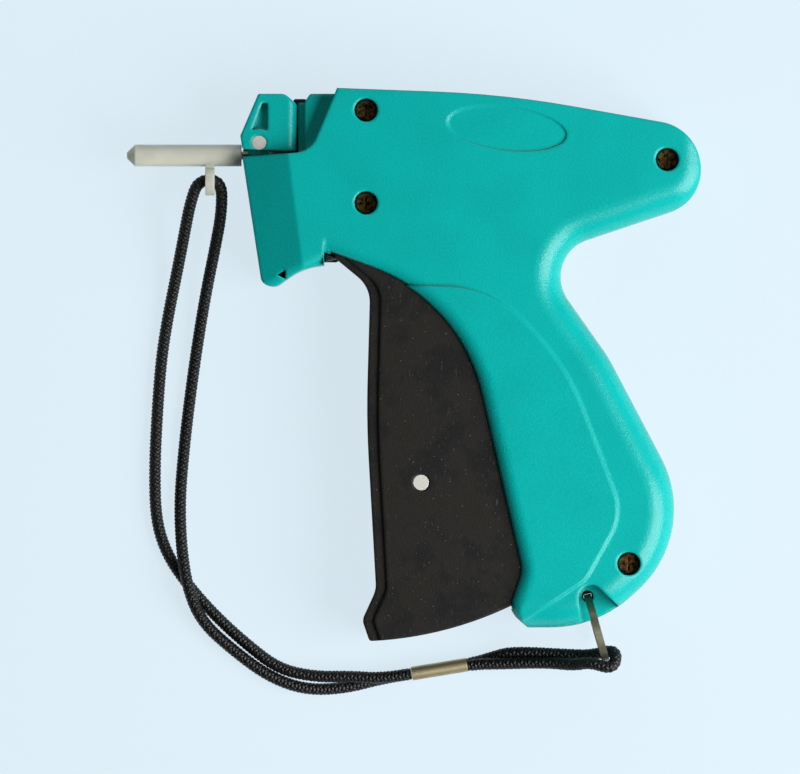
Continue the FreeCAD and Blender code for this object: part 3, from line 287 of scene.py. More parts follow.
@dataclass(frozen=True)
class MouldedPlastic(Finish):
    """An opaque plastic from a spark-eroded mould: satin, with a fine pebbled grain.

    The grain breaks the highlights up into a soft sparkle, and handling polishes the edges; their paler
    colour is partly wear and partly a painted highlight.
    """

    # the paler colour along the edges: partly wear, partly a painted highlight
    edge: str
    roughness: float = 0.27
    polish: float = 0.05
    dulling: float = 0.06
    grain_mm: float = 0.6
    grain_depth: float = 0.5
    relief_mm: float = 0.12
    flow_mm: float = 14.0
    edge_mm: float = 1.3
    specular: float = 0.3
    ior: float = 1.5
    wear_and_highlight: EdgeWearAndHighlight = EdgeWearAndHighlight.LIGHT

    def build(self) -> bpy.types.Material:
        """Build the material.

        Returns:
            The material.
        """
        material, tree, spot = self.blank()
        # mould grain, one pebble every grain_mm
        grain = add(tree, "ShaderNodeTexNoise",
                    {"Scale": per_mm(self.grain_mm), "Detail": 2.0, "Roughness": 0.55}, spot)
        # flow marks of the melt, flow_mm across
        tone, _, _ = self.mottle(tree, spot, self.flow_mm, (0.3, 0.72), 3.0)
        soft = add(tree, "ShaderNodeBevel", {**ROUNDED, "Radius": self.edge_mm * MM})
        # the edges pale partly as wear and partly as a painted highlight
        worn_and_highlit = pale_and_highlight_edges(tree, soft, (tone, MIXED), self.edge, self.wear_and_highlight)
        gloss = add(tree, "ShaderNodeMapRange",
                    {**SMOOTH, "From Min": 0.3, "From Max": 0.7, "To Min": self.roughness - self.polish,
                     "To Max": self.roughness + self.dulling}, {"Value": (grain, "Fac")})
        emboss(tree, grain, self.grain_depth, self.relief_mm,
               {"IOR": self.ior, "Specular IOR Level": self.specular},
               {"Base Color": (worn_and_highlit, MIXED), "Roughness": (gloss, "Result")}, soft)
        return material


@dataclass(frozen=True)
class ScuffedPlastic(Finish):
    """A matt black nylon that hands have scuffed: brown-black, with dust in its grain.

    Fine hairline scratches and grey specks of dust lie on it, and its edges are paler and greenish: partly
    wear, partly a painted reflection of the pale floor.
    """

    dust: str
    # the paler greenish colour along the edges: partly wear, partly a painted reflection of the pale floor
    edge: str
    roughness: float = 0.5
    polish: float = 0.06
    dulling: float = 0.1
    grain_mm: float = 0.55
    grain_depth: float = 0.55
    relief_mm: float = 0.1
    patch_mm: float = 9.0
    speck_mm: float = 1.1
    scratch_mm: float = 0.5
    scratch_long: float = 4.0
    scratch_deep: float = 3.0
    scratch_turn: float = 0.9
    edge_mm: float = 1.1
    specular: float = 0.32
    ior: float = 1.45
    wear_and_highlight: EdgeWearAndHighlight = EdgeWearAndHighlight.HEAVY

    def scratches(self, tree: bpy.types.NodeTree, spot: dict[str, Link],
                  patch: bpy.types.Node) -> bpy.types.Node:
        """Draw hairline scratches in the worn patches: a noise drawn out to scratch_long times its width.

        The real ones are 0.05 mm wide; these are as coarse as they need to be to show.

        Args:
            tree: the material's node tree.
            spot: the link that says where on the piece a point lies.
            patch: the worn patches.

        Returns:
            The node with the scratches' share.
        """
        wide = self.scratch_mm
        aim = add(tree, "ShaderNodeMapping",
                  {"Rotation": (0.0, 0.0, self.scratch_turn),
                   "Scale": (per_mm(wide), per_mm(wide * self.scratch_long),
                             per_mm(wide * self.scratch_deep))}, spot)
        hairs = add(tree, "ShaderNodeTexNoise", {"Scale": 1.0, "Detail": 2.0}, {"Vector": (aim, "Vector")})
        line = add(tree, "ShaderNodeMapRange", {**SMOOTH, "From Min": 0.64, "From Max": 0.78, "To Max": 0.35},
                   {"Value": (hairs, "Fac")})
        return add(tree, "ShaderNodeMath", {"operation": "MULTIPLY"},
                   {0: (line, "Result"), 1: (patch, "Result")})

    def specks(self, tree: bpy.types.NodeTree, spot: dict[str, Link]) -> bpy.types.Node:
        """Scatter specks of dust, at most one in each cell of speck_mm and none in most of them.

        Args:
            tree: the material's node tree.
            spot: the link that says where on the piece a point lies.

        Returns:
            The node with the specks' share.
        """
        cells = add(tree, "ShaderNodeTexVoronoi", {"Scale": per_mm(self.speck_mm)}, spot)
        core = add(tree, "ShaderNodeMapRange", {**SMOOTH, "From Min": 0.16, "From Max": 0.07},
                   {"Value": (cells, "Distance")})
        lot = add(tree, "ShaderNodeSeparateColor", {}, {"Color": (cells, "Color")})
        few = add(tree, "ShaderNodeMapRange", {"From Min": 0.6, "From Max": 0.95, "To Max": 0.8},
                  {"Value": (lot, "Red")})
        return add(tree, "ShaderNodeMath", {"operation": "MULTIPLY"},
                   {0: (core, "Result"), 1: (few, "Result")})

    def build(self) -> bpy.types.Material:
        """Build the material.

        Returns:
            The material.
        """
        material, tree, spot = self.blank()
        grain = add(tree, "ShaderNodeTexNoise",
                    {"Scale": per_mm(self.grain_mm), "Detail": 3.0, "Roughness": 0.6}, spot)
        # worn and greasy patches, patch_mm across
        tone, patch, cloud = self.mottle(tree, spot, self.patch_mm, (0.4, 0.62), 4.0, 0.6)
        marks = add(tree, "ShaderNodeMath", {"operation": "MAXIMUM"},
                    {0: (self.specks(tree, spot), "Value"), 1: (self.scratches(tree, spot, patch), "Value")})
        dusty = add(tree, "ShaderNodeMix", {**COLOURS, SECOND: linear(self.dust)},
                    {"Factor": (marks, "Value"), FIRST: (tone, MIXED)})
        soft = add(tree, "ShaderNodeBevel", {**ROUNDED, "Radius": self.edge_mm * MM})
        # the greenish edge is partly wear and partly a painted reflection of the pale floor
        worn_and_highlit = pale_and_highlight_edges(tree, soft, (dusty, MIXED), self.edge, self.wear_and_highlight)
        gloss = add(tree, "ShaderNodeMapRange",
                    {**SMOOTH, "From Min": 0.3, "From Max": 0.7, "To Min": self.roughness - self.polish,
                     "To Max": self.roughness + self.dulling}, {"Value": (cloud, "Fac")})
        emboss(tree, grain, self.grain_depth, self.relief_mm,
               {"IOR": self.ior, "Specular IOR Level": self.specular},
               {"Base Color": (worn_and_highlit, MIXED), "Roughness": (gloss, "Result")}, soft)
        return material


@dataclass(frozen=True)
class MilkyPolyethylene(Finish):
    """A natural polyethylene: milky, a little see-through, smooth from a polished mould.

    Light sinks in and comes out beside where it fell, so its shadows are pale and soft. Reach is how far red,
    green and blue light go in it, in metres.
    """

    roughness: float = 0.4
    wall_mm: float = 9.0
    dent_mm: float = 2.0
    dent_depth: float = 0.1
    relief_mm: float = 0.1
    edge_mm: float = 0.3
    sunk: float = 0.7
    reach: Point = (0.004, 0.004, 0.0035)
    ior: float = 1.51

    def build(self) -> bpy.types.Material:
        """Build the material.

        Returns:
            The material.
        """
        material, tree, spot = self.blank()
        # the wall's thickness changes slowly, wall_mm at a time
        tone, _, _ = self.mottle(tree, spot, self.wall_mm, (0.35, 0.7), 2.0)
        soft = add(tree, "ShaderNodeBevel", {**ROUNDED, "Radius": self.edge_mm * MM})
        # dents and drag lines from handling, dent_mm across
        dents = add(tree, "ShaderNodeTexNoise", {"Scale": per_mm(self.dent_mm), "Detail": 1.0}, spot)
        emboss(tree, dents, self.dent_depth, self.relief_mm,
               {"Roughness": self.roughness, "IOR": self.ior, "Subsurface Weight": self.sunk,
                "Subsurface Radius": self.reach, "Subsurface Scale": 1.0},
               {"Base Color": (tone, MIXED)}, soft)
        return material


@dataclass(frozen=True)
class Metal(Finish):
    """A bare or plated metal, turned, drawn or rolled.

    Fine drawn-out marks spread its highlights, and a few patches are duller than the rest.
    """

    roughness: float = 0.5
    patch_mm: float = 4.0
    mark_mm: float = 0.3
    mark_depth: float = 0.08
    edge_mm: float = 0.15
    dulling: float = 0.1
    relief_mm: float = 0.05

    def build(self) -> bpy.types.Material:
        """Build the material.

        Returns:
            The material.
        """
        material, tree, spot = self.blank()
        tone, _, cloud = self.mottle(tree, spot, self.patch_mm, (0.4, 0.66), 3.0, 0.55)
        gloss = add(tree, "ShaderNodeMapRange",
                    {**SMOOTH, "From Min": 0.35, "From Max": 0.7, "To Min": self.roughness,
                     "To Max": self.roughness + self.dulling}, {"Value": (cloud, "Fac")})
        # tool and die marks, drawn coarser than the real 0.02 mm ones so that they show
        marks = add(tree, "ShaderNodeTexNoise", {"Scale": per_mm(self.mark_mm), "Detail": 2.0}, spot)
        soft = add(tree, "ShaderNodeBevel", {**ROUNDED, "Radius": self.edge_mm * MM})
        emboss(tree, marks, self.mark_depth, self.relief_mm, {"Metallic": 1.0},
               {"Base Color": (tone, MIXED), "Roughness": (gloss, "Result")}, soft)
        return material


@dataclass(frozen=True)
class BraidedNylon(Finish):
    """Black nylon braid: each yarn of fine glossy filaments that catch the light along its crown."""

    filament_mm: float = 0.15
    filament_depth: float = 0.35
    relief_mm: float = 0.05
    rub_mm: float = 1.2
    roughness: float = 0.42
    specular: float = 0.35
    ior: float = 1.53

    def build(self) -> bpy.types.Material:
        """Build the material.

        Returns:
            The material.
        """
        material, tree, spot = self.blank()
        # filaments are 0.02 mm in the real cord, drawn as coarse as they need to show
        fibre = add(tree, "ShaderNodeTexNoise", {"Scale": per_mm(self.filament_mm), "Detail": 2.0}, spot)
        # yarns differ a little in how much they were rubbed, rub_mm at a time
        tone, _, _ = self.mottle(tree, spot, self.rub_mm, (0.38, 0.68), 2.0)
        emboss(tree, fibre, self.filament_depth, self.relief_mm,
               {"Roughness": self.roughness, "IOR": self.ior, "Specular IOR Level": self.specular},
               {"Base Color": (tone, MIXED)})
        return material


# the shells' even blue-green, a little paler along every edge: partly wear, partly a painted highlight
TEAL_ABS = MouldedPlastic("teal_moulded_abs", "#02aea8", "#03a8a2", "#1fbdb5")
# the trigger's black, which skin grease has made browner in patches; its paler greenish rim is partly wear
# and partly a painted reflection of the pale floor
BLACK_NYLON = ScuffedPlastic("black_moulded_nylon", "#1e1c18", "#0b0b0c", "#757265", "#2b3531")
# the slippery plastic of the inner works: an even grey-black, smoother than the trigger's
DARK_ACETAL = MouldedPlastic("dark_moulded_acetal", "#1c1d1d", "#232424", "#3c3d3c", roughness=0.4)
# the cap's greyish white, which the needle inside doesn't show through
MILKY_CAP = MilkyPolyethylene("milky_polyethylene", "#d6d8c8", "#c8cabc")
# the lathe's marks spread the light to a broad pale sheen
BRIGHT_STEEL = Metal("turned_bright_steel", "#e6e5dc", "#d2d1c8", roughness=0.58)
# wire from the die is smoother and darker, with a narrow highlight along each turn
SPRING_STEEL = Metal("drawn_spring_steel", "#9a9a96", "#7c7c78", roughness=0.35)
# a dark brown yellow zinc, with near-black patches that are finer than the screw's head
YELLOW_ZINC = Metal("yellow_passivated_steel", "#94683f", "#1d140d",
                    roughness=0.36, patch_mm=1.1, mark_mm=0.4, mark_depth=0.3)
# the crimping tool has pressed the tube into broad shallow facets
CRIMPED_ALUMINIUM = Metal("crimped_aluminium", "#c0b592", "#afa283",
                          patch_mm=5.0, mark_mm=0.6, mark_depth=0.12)
# the rolled ring's plating has dulled to a greenish grey, with fine marks from the rolls
NICKEL_STRIP = Metal("rolled_nickel_plate", "#848471", "#72705f",
                     roughness=0.45, patch_mm=2.5, mark_mm=0.4, mark_depth=0.15)
# near black, so that only the yarns' crowns catch the light
NYLON_BRAID = BraidedNylon("black_braided_nylon", "#060707", "#121211")


def dress(finish: Finish, *nodes: str) -> None:
    """Give solids of the frame one finish.

    Args:
        finish: the finish that they all have.
        nodes: the solids' names.
    """
    for name in nodes:
        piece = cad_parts[name]
        piece.data.materials.clear()
        piece.data.materials.append(finish.material())
        LOG.info("%s: %s", name, finish.name)


# ---------------------------------------------------------------- wires and cords

def spline_points(name: str, corners: list[Point]) -> np.ndarray:
    """Read the line of a smooth cord that a route's corners control.

    Args:
        name: a name for the passing curve.
        corners: the route's corners in millimetres.

    Returns:
        Points along the line, in metres.
    """
    curve = bpy.data.curves.new(name, "CURVE")
    curve.dimensions = "3D"
    curve.resolution_u = CURVE_STEPS
    spline = curve.splines.new("NURBS")
    spline.points.add(len(corners) - 1)
    for point, (x, y, z) in zip(spline.points, corners):
        point.co = (x * MM, y * MM, z * MM, 1.0)
    spline.order_u = 3
    spline.use_endpoint_u = True
    holder = object_from(name, curve)
    mesh = bpy.data.meshes.new_from_object(holder)
    points = np.array([v.co for v in mesh.vertices], float).reshape(-1, 3)
    bpy.data.objects.remove(holder)
    bpy.data.curves.remove(curve)
    bpy.data.meshes.remove(mesh)
    return points


def length_of(points: np.ndarray) -> float:
    """Return the length of a line of points."""
    return float(np.linalg.norm(np.diff(points, axis=0), axis=1).sum())


def evenly(points: np.ndarray, step: float) -> np.ndarray:
    """Space points evenly along a line.

    Args:
        points: the line's points.
        step: the spacing to come near, in metres.

    Returns:
        The evenly spaced points.
    """
    runs = np.linalg.norm(np.diff(points, axis=0), axis=1)
    along = np.concatenate(([0.0], np.cumsum(runs)))
    marks = np.linspace(0.0, along[-1], max(2, int(round(along[-1] / step)) + 1))
    return np.stack([np.interp(marks, along, points[:, k]) for k in range(3)], axis=1)


def sides_along(points: np.ndarray) -> tuple[np.ndarray, np.ndarray]:
    """Carry a pair of side directions along a line without twist.

    Args:
        points: the line's points.

    Returns:
        The two side directions, one row a point.
    """
    tangents = np.gradient(points, axis=0)
    tangents /= np.linalg.norm(tangents, axis=1)[:, None]
    side = np.cross(tangents[0], (0.0, 0.0, 1.0))
    side /= np.linalg.norm(side)
    sides = [side]
    for tangent in tangents[1:]:
        side = sides[-1] - tangent * float(np.dot(sides[-1], tangent))
        sides.append(side / np.linalg.norm(side))
    first = np.array(sides)
    return first, np.cross(tangents, first)


def tube_faces(rings: int, corners: int, start: int = 0) -> list[list[int]]:
    """List the faces of a closed tube of rings.

    Args:
        rings: how many rings it has.
        corners: how many corners a ring has.
        start: the number of its first corner.

    Returns:
        The faces, with one cap at each end.
    """
    faces = []
    for i in range(rings - 1):
        for j in range(corners):
            k = (j + 1) % corners
            low = start + i * corners
            faces.append([low + j, low + k, low + corners + k, low + corners + j])
    faces.append([start + j for j in reversed(range(corners))])
    last = start + (rings - 1) * corners
    faces.append([last + j for j in range(corners)])
    return faces


def wire_mesh(name: str, points: np.ndarray, radius: float, corners: int) -> bpy.types.Mesh:
    """Draw a round wire along a line.

    Args:
        name: the mesh's name.
        points: the wire's centreline, in metres.
        radius: the wire's radius, in metres.
        corners: how many corners it has round it.

    Returns:
        The mesh.
    """
    first, second = sides_along(points)
    turns = [TURN * j / corners for j in range(corners)]
    rings = [points + radius * (math.cos(t) * first + math.sin(t) * second) for t in turns]
    points_all = np.stack(rings, axis=1).reshape(-1, 3).tolist()
    return mesh_from(name, points_all, tube_faces(len(points), corners), smooth=True)


@dataclass
class Braid:
    """The weave of the cord: yarns that wind both ways round a core, over and under each other.

    Lean is the yarns' angle to the cord in degrees: a ring cuts them that much wider. Squeeze is the share by
    which the ferrule thins the cord, and fade is how far past its mouth the cord has its own size again.
    """

    radius: float = 1.7
    yarns: int = 5
    pitch: float = 10.0
    yarn_wide: float = 1.2
    yarn_thick: float = 0.5
    lean: float = 50.0
    wave: float = 0.2
    step: float = 0.25
    yarn_corners: int = 8
    core_corners: int = 12
    squeeze: float = 0.1
    fade: float = 0.5

    def mesh(self, name: str, line: np.ndarray, held: float) -> bpy.types.Mesh:
        """Weave the cord along a line.

        Args:
            name: the mesh's name.
            line: the cord's centreline, in metres.
            held: how much of each end the ferrule squeezes, in millimetres.

        Returns:
            The mesh: a core and the yarns round it.
        """
        points = evenly(line, self.step * MM)
        first, second = sides_along(points)
        count = len(points)
        marks = np.arange(count) * self.step
        middle = self.radius - self.yarn_thick / 2 - self.wave
        inside = held - np.minimum(marks, marks[-1] - marks)
        slim = 1 - self.squeeze * np.clip(inside + self.fade, 0.0, 1.0)

        def ring_of(radius: np.ndarray, angle: np.ndarray) -> np.ndarray:
            """Return the points at a radius and an angle round the line."""
            return points + (radius * slim * MM)[:, None] * (np.cos(angle)[:, None] * first
                                                             + np.sin(angle)[:, None] * second)

        turns = [TURN * j / self.core_corners for j in range(self.core_corners)]
        core = [ring_of(np.full(count, middle), np.full(count, turn)) for turn in turns]
        vertices = [np.stack(core, axis=1).reshape(-1, 3)]
        faces = tube_faces(count, self.core_corners)
        start = count * self.core_corners
        for way in (1, -1):
            lift = way * self.wave * np.cos(TURN * self.yarns * marks / self.pitch)
            for yarn in range(self.yarns):
                angle = way * TURN * marks / self.pitch + TURN * yarn / self.yarns
                rings = []
                for j in range(self.yarn_corners):
                    turn = TURN * (j * way + 0.5) / self.yarn_corners
                    across = self.yarn_wide / 2 * math.cos(turn) / math.cos(math.radians(self.lean))
                    up = self.yarn_thick / 2 * math.sin(turn)
                    rings.append(ring_of(middle + lift + up, angle + across / middle))
                vertices.append(np.stack(rings, axis=1).reshape(-1, 3))
                faces += tube_faces(count, self.yarn_corners, start)
                start += count * self.yarn_corners
        return mesh_from(name, np.concatenate(vertices).tolist(), faces, smooth=True)


# ---------------------------------------------------------------- wrist strap

@dataclass(frozen=True)
class Stretch:
    """A doubled stretch of cord that leaves the ferrule and comes back to it.

    Near and far are where its end and its first bend lie along the ferrule's axis, held is how much of each
    end the ferrule squeezes, and partners are the pieces that it's tied to, and are not used.
    """

    name: str
    node: str
    corners: tuple[Point, ...]
    near: float
    far: float
    held: float
    partners: tuple[str, ...] = ()


@dataclass
class Strap:
    """The wrist strap: a doubled cord from the cap's eye through the ferrule to the ring.

    The ferrule is 15.2 mm long, and the bight's ends lie all through it. Its place is that of the mouth
    towards the cap, its turn is in degrees, and low and high are the heights of the two strands in it.
    """

    ferrule_x: float = -0.46
    ferrule_y: float = -83.75
    ferrule_turn: float = 9.3
    low: float = 1.83
    high: float = 4.96
    loop: Stretch = Stretch("cord_to_cap", "strap_loop", (
        (-18.5, -87.75, 1.75), (-29.3, -88.2, 1.8), (-39.3, -84.6, 1.75), (-48.9, -77.5, 1.85),
        (-57.6, -69.6, 3.35), (-61.3, -60.4, 5.75), (-63.0, -49.5, 4.45), (-63.5, -36.5, 1.9),
        (-62.2, -21.6, 1.75), (-60.6, -8.1, 1.8), (-58.7, 5.4, 2.05), (-56.3, 19.8, 3.75),
        (-53.7, 32.0, 8.15), (-51.9, 41.5, 11.95), (-51.9, 49.9, 13.15), (-58.2, 50.1, 13.15),
        (-60.4, 44.0, 11.55), (-62.1, 35.5, 8.35), (-64.1, 25.5, 4.35), (-66.4, 14.5, 2.15),
        (-68.4, 2.5, 1.75), (-69.5, -11.5, 1.8), (-70.3, -27.5, 1.75), (-70.0, -42.0, 1.8),
        (-66.9, -51.6, 1.75), (-60.9, -60.2, 1.77), (-53.5, -68.4, 1.85), (-45.2, -75.9, 2.05),
        (-36.6, -82.5, 2.55), (-26.8, -84.6, 3.45), (-17.0, -84.45, 4.55)), near=-0.1, far=-8.0, held=0.5)
    bight: Stretch = Stretch("cord_to_ring", "strap_bight", (
        (21.7, -79.18, 3.0), (26.79, -77.72, 6.0), (43.36, -78.55, 8.6), (48.0, -78.62, 10.52),
        (55.04, -76.79, 13.68), (54.2, -82.35, 17.52), (47.5, -80.3, 16.9), (43.6, -81.25, 12.9),
        (35.95, -80.55, 9.2), (23.33, -81.0, 6.5)), near=0.2, far=16.2, held=15.7,
        partners=("strap_ferrule", "strap_ring"))

    def mouth(self, reach: float, z: float) -> Point:
        """Return the point at a distance along the ferrule's axis."""
        aim = math.radians(self.ferrule_turn)
        return (self.ferrule_x + reach * math.cos(aim), self.ferrule_y + reach * math.sin(aim), z)

    def route(self, stretch: Stretch) -> list[Point]:
        """Return a stretch's corners, from the ferrule's lower strand to its upper one."""
        return [self.mouth(stretch.near, self.low), self.mouth(stretch.far, self.low), *stretch.corners,
                self.mouth(stretch.far, self.high), self.mouth(stretch.near, self.high)]

    def build(self) -> None:
        """Weave both stretches and dress the ferrule and the ring."""
        braid = Braid()
        for stretch in (self.loop, self.bight):
            line = spline_points(stretch.name + "_line", self.route(stretch))
            piece = object_from(stretch.name, braid.mesh(stretch.name, line, stretch.held))
            piece.data.materials.append(NYLON_BRAID.material())
            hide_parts(stretch.node)
            if stretch is self.loop:
                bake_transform(piece)
            else:
                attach(piece, "body")
            LOG.info("%s: %.0f mm of cord", stretch.name, length_of(line) / MM)
        dress(CRIMPED_ALUMINIUM, "strap_ferrule")
        dress(NICKEL_STRIP, "strap_ring")


# ---------------------------------------------------------------- body, works and head

def prism_mesh(name: str, corners: tuple[Pair, ...], heights: Pair,
               hole: tuple[Pair, ...] = ()) -> bpy.types.Mesh:
    """Raise an outline to a solid, with a hole of as many corners through it where one is given.

    Args:
        name: the mesh's name.
        corners: the outline's corners, anticlockwise, in millimetres.
        heights: the heights of the lower and the upper face.
        hole: the hole's corners, each inside the outline's corner of the same place.

    Returns:
        The mesh, in metres.
    """
    low, high = heights
    count = len(corners)
    rims = [(corners, low), (corners, high)] + ([(hole, high), (hole, low)] if hole else [])
    points = [(x * MM, y * MM, z * MM) for rim, z in rims for x, y in rim]
    faces = []
    for k in range(len(rims) if hole else 1):
        first, second = k * count, (k + 1) % len(rims) * count
        for i in range(count):
            j = (i + 1) % count
            faces.append([first + i, first + j, second + j, second + i])
    if not hole:
        faces += [list(reversed(range(count))), list(range(count, 2 * count))]
    return mesh_from(name, points, faces)


@dataclass
class Casing:
    """The two shells, the head's lever and the small webs that close the gaps in the shells; the webs' dark
    colour is painted shade in those gaps.

    The guard stands in the head's slot, the lip beside the trigger's upper tip, and the eye is a grommet
    with a slot for the strap's ring. Heights are those of a web's lower and upper face.
    """

    guard: tuple[Pair, ...] = (
        (-46.2, 57.3), (-33.2, 57.3), (-33.2, 56.6), (-28.0, 56.6), (-28.0, 71.0), (-29.4, 72.2),
        (-32.2, 72.2), (-33.2, 71.0), (-33.2, 59.2), (-46.2, 59.2))
    guard_heights: Pair = (4.3, 5.2)
    lip: tuple[Pair, ...] = ((-24.4, 27.9), (-20.9, 27.9), (-19.4, 28.8), (-19.8, 29.3), (-24.4, 30.7))
    lip_heights: Pair = (1.0, 2.4)
    eye_x: float = 47.06
    eye_y: float = -62.5
    eye_radius: float = 1.62
    eye_corners: int = 24
    eye_slot: Pair = (1.12, 0.58)
    eye_turn: float = 15.8
    eye_heights: Pair = (12.3, 13.7)
    web_edge: float = 0.15
    web_edge_steps: int = 2

    def eye_rings(self) -> tuple[tuple[Pair, ...], tuple[Pair, ...]]:
        """Work out the grommet of the strap's ring.

        Returns:
            The corners of the grommet and of the slot through it.
        """
        outer, inner = [], []
        turn = math.radians(self.eye_turn)
        wide, tall = self.eye_slot
        # keeps the quotients finite where a corner lies along or across the slot
        least = 1e-6
        for i in range(self.eye_corners):
            angle = TURN * i / self.eye_corners
            along, across = abs(math.cos(angle - turn)), abs(math.sin(angle - turn))
            slot = min(wide / max(along, least), tall / max(across, least))
            for rim, reach in ((outer, self.eye_radius), (inner, slot)):
                rim.append((self.eye_x + reach * math.cos(angle), self.eye_y + reach * math.sin(angle)))
        return tuple(outer), tuple(inner)

    def painted_shade_web(self, name: str, mesh: bpy.types.Mesh) -> None:
        """Put a small web into the shells, its dark colour painted shade in the gap that it closes.

        Args:
            name: the piece's name.
            mesh: its mesh.
        """
        piece = object_from(name, mesh)
        edge = piece.modifiers.new("soft_edges", "BEVEL")
        edge.width = self.web_edge * MM
        edge.segments = self.web_edge_steps
        # the dark acetal on this web is painted shade: it stands where the gap shows only shadow
        piece.data.materials.append(DARK_ACETAL.material())
        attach(piece, "body")
        LOG.info("%s: %s", name, DARK_ACETAL.name)

    def build(self) -> None:
        """Dress the shells and the lever and put in the webs, whose dark colour is painted shade."""
        dress(TEAL_ABS, "left_casing", "right_casing", "needle_lock_lever")
        self.painted_shade_web("head_guard_painted_shade", prism_mesh("head_guard_painted_shade", self.guard, self.guard_heights))
        self.painted_shade_web("trigger_lip_painted_shade", prism_mesh("trigger_lip_painted_shade", self.lip, self.lip_heights))
        outer, inner = self.eye_rings()
        self.painted_shade_web("ring_grommet_painted_shade", prism_mesh("ring_grommet_painted_shade", outer, self.eye_heights, inner))


@dataclass
class Works:
    """The trigger and everything that it drives, with the needle and the pins."""

    plastic: tuple[str, ...] = ("drive_lever", "slider", "feed_wheel")
    steel: tuple[str, ...] = (
        "trigger_link_pin", "trigger_pivot_pin", "drive_link_left", "drive_link_right", "drive_lever_axle",
        "lever_link_pin", "slider_pin", "push_rod", "feed_wheel_axle", "cutter_blade", "needle",
        "needle_base", "needle_lock_pin")

    def build(self) -> None:
        """Dress the trigger, the linkage, the slider, the feed and the needle."""
        dress(BLACK_NYLON, "trigger")
        dress(DARK_ACETAL, *self.plastic)
        dress(BRIGHT_STEEL, *self.steel)


@dataclass
class ReturnSpring:
    """The coil spring between the front wall and the slider, wound at the length of its solid.

    Travel is the slider's own and the little that the spring's end then stays clear of it; it is not used.
    """

    turns: float = 11.0
    wire: float = 0.35
    turn_steps: int = 32
    wire_corners: int = 8
    travel: float = 43.5

    def build(self) -> None:
        """Wind the spring where its solid stands."""
        low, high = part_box("return_spring")
        middle = (low + high) / 2
        radius = (high.y - low.y) / 2 - self.wire * MM
        angle = np.linspace(0.0, TURN * self.turns, int(self.turns * self.turn_steps) + 1)
        along = np.linspace(low.x + self.wire * MM, high.x - self.wire * MM, len(angle))
        line = np.stack([along, middle.y + radius * np.cos(angle), middle.z + radius * np.sin(angle)], axis=1)
        coil = object_from("closing_spring",
                           wire_mesh("closing_spring", line, self.wire * MM, self.wire_corners))
        coil.data.materials.append(SPRING_STEEL.material())
        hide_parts("return_spring")
        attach(coil, "body")
        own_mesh(coil)
        LOG.info("closing_spring: %s", SPRING_STEEL.name)


@dataclass
class NeedleCap:
    """The cap over the needle."""

    def build(self) -> None:
        """Dress the cap."""
        dress(MILKY_CAP, "needle_cap")


@dataclass
class Screws:
    """The four casing screws."""

    def build(self) -> None:
        """Dress the screws."""
        dress(YELLOW_ZINC, "casing_screws")


# ---------------------------------------------------------------- studio

@dataclass(frozen=True)
class Lamp:
    """A square lamp that looks at the tool: its name, its place and side in metres, its power in watts."""

    name: str
    place: Point
    side: float
    power: float

    def build(self) -> None:
        """Hang the lamp."""
        data = bpy.data.lights.new(self.name, "AREA")
        data.shape = "SQUARE"
        data.size = self.side
        data.energy = self.power
        lamp = object_from(self.name, data)
        lamp.visible_camera = False
        lamp.location = self.place
        lamp.rotation_euler = (-Vector(self.place)).to_track_quat("-Z", "Y").to_euler()


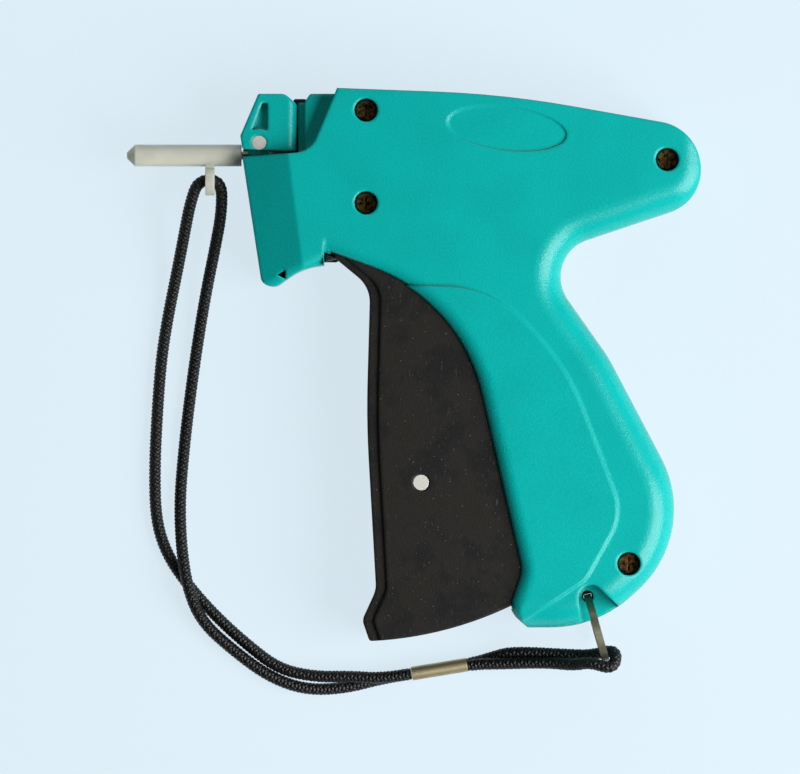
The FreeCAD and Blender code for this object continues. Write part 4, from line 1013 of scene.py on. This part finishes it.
@dataclass
class Studio:
    """The camera, the floor and the lamps.

    Pixel is what one pixel shows at the height of level. Distance, far_clip and floor_half are in metres.
    """

    pixel: float = 0.27
    pixels_wide: int = 800
    centre_x: float = -3.645
    centre_y: float = -5.94
    level: float = 19.5
    distance: float = 3.0
    sensor: float = 36.0
    far_clip: float = 100.0
    floor_half: float = 25.0
    floor_gap: float = 0.1
    floor_colour: str = "#e0f0fa"
    glow: float = 0.87
    room_colour: str = "#eef3f6"
    room_light: float = 0.07
    lamps: tuple[Lamp, ...] = (Lamp("key_lamp", (0.62, -0.22, 0.55), 0.7, 12.4),
                               Lamp("fill_lamp", (-0.1, 0.9, 0.6), 0.8, 1.9))

    def camera(self) -> None:
        """Set the camera straight above the tool."""
        data = bpy.data.cameras.new("camera")
        data.sensor_width = self.sensor
        data.lens = self.sensor * self.distance / (self.pixels_wide * self.pixel * MM)
        data.clip_end = self.far_clip
        camera = object_from("camera", data)
        camera.location = (self.centre_x * MM, self.centre_y * MM, self.distance + self.level * MM)
        bpy.context.scene.camera = camera

    def paper(self) -> bpy.types.Material:
        """Make the pale paper of the floor, which glows a little for the camera and in reflections.

        Returns:
            The material.
        """
        material, tree = fresh_material("pale_paper")
        colour = linear(self.floor_colour)
        matt = add(tree, "ShaderNodeBsdfDiffuse", {"Color": colour})
        glow = add(tree, "ShaderNodeEmission", {"Color": colour})
        path = add(tree, "ShaderNodeLightPath")
        seen = add(tree, "ShaderNodeMath", {"operation": "MAXIMUM"},
                   {0: (path, "Is Camera Ray"), 1: (path, "Is Glossy Ray")})
        through = add(tree, "ShaderNodeMath", {"operation": "MAXIMUM"},
                      {0: (seen, "Value"), 1: (path, "Is Transmission Ray")})
        share = add(tree, "ShaderNodeMath", {"operation": "MULTIPLY", 1: self.glow}, {0: (through, "Value")})
        mix = add(tree, "ShaderNodeMixShader", {}, {0: (share, "Value"), 1: (matt, "BSDF"),
                                                    2: (glow, "Emission")})
        add(tree, "ShaderNodeOutputMaterial", {}, {"Surface": (mix, "Shader")})
        return material

    def floor(self) -> None:
        """Lay the pale floor."""
        half = self.floor_half
        corners = [(-half, -half, 0), (half, -half, 0), (half, half, 0), (-half, half, 0)]
        floor = object_from("floor", mesh_from("floor", corners, [[0, 1, 2, 3]]))
        floor.location.z = -self.floor_gap * MM
        floor.data.materials.append(self.paper())

    def world(self) -> None:
        """Fill the room with plain light."""
        world = bpy.data.worlds.new("room")
        bpy.context.scene.world = world
        world.use_nodes = True
        tree = world.node_tree
        tree.nodes.clear()
        room = add(tree, "ShaderNodeBackground",
                   {"Color": linear(self.room_colour), "Strength": self.room_light})
        add(tree, "ShaderNodeOutputWorld", {}, {"Surface": (room, "Background")})

    def build(self) -> None:
        """Set up the studio."""
        self.camera()
        self.floor()
        self.world()
        for lamp in self.lamps:
            lamp.build()
        bpy.context.scene.view_settings.view_transform = "Standard"


def main() -> None:
    """Build every piece in order and note what came of it."""
    logging.basicConfig(level=logging.INFO, format="%(name)s: %(message)s")
    Studio().build()
    for piece in (Strap(), Casing(), Works(), ReturnSpring(), NeedleCap(), Screws()):
        piece.build()
        LOG.info("%s built", type(piece).__name__)


if __name__ == "__main__":
    main()
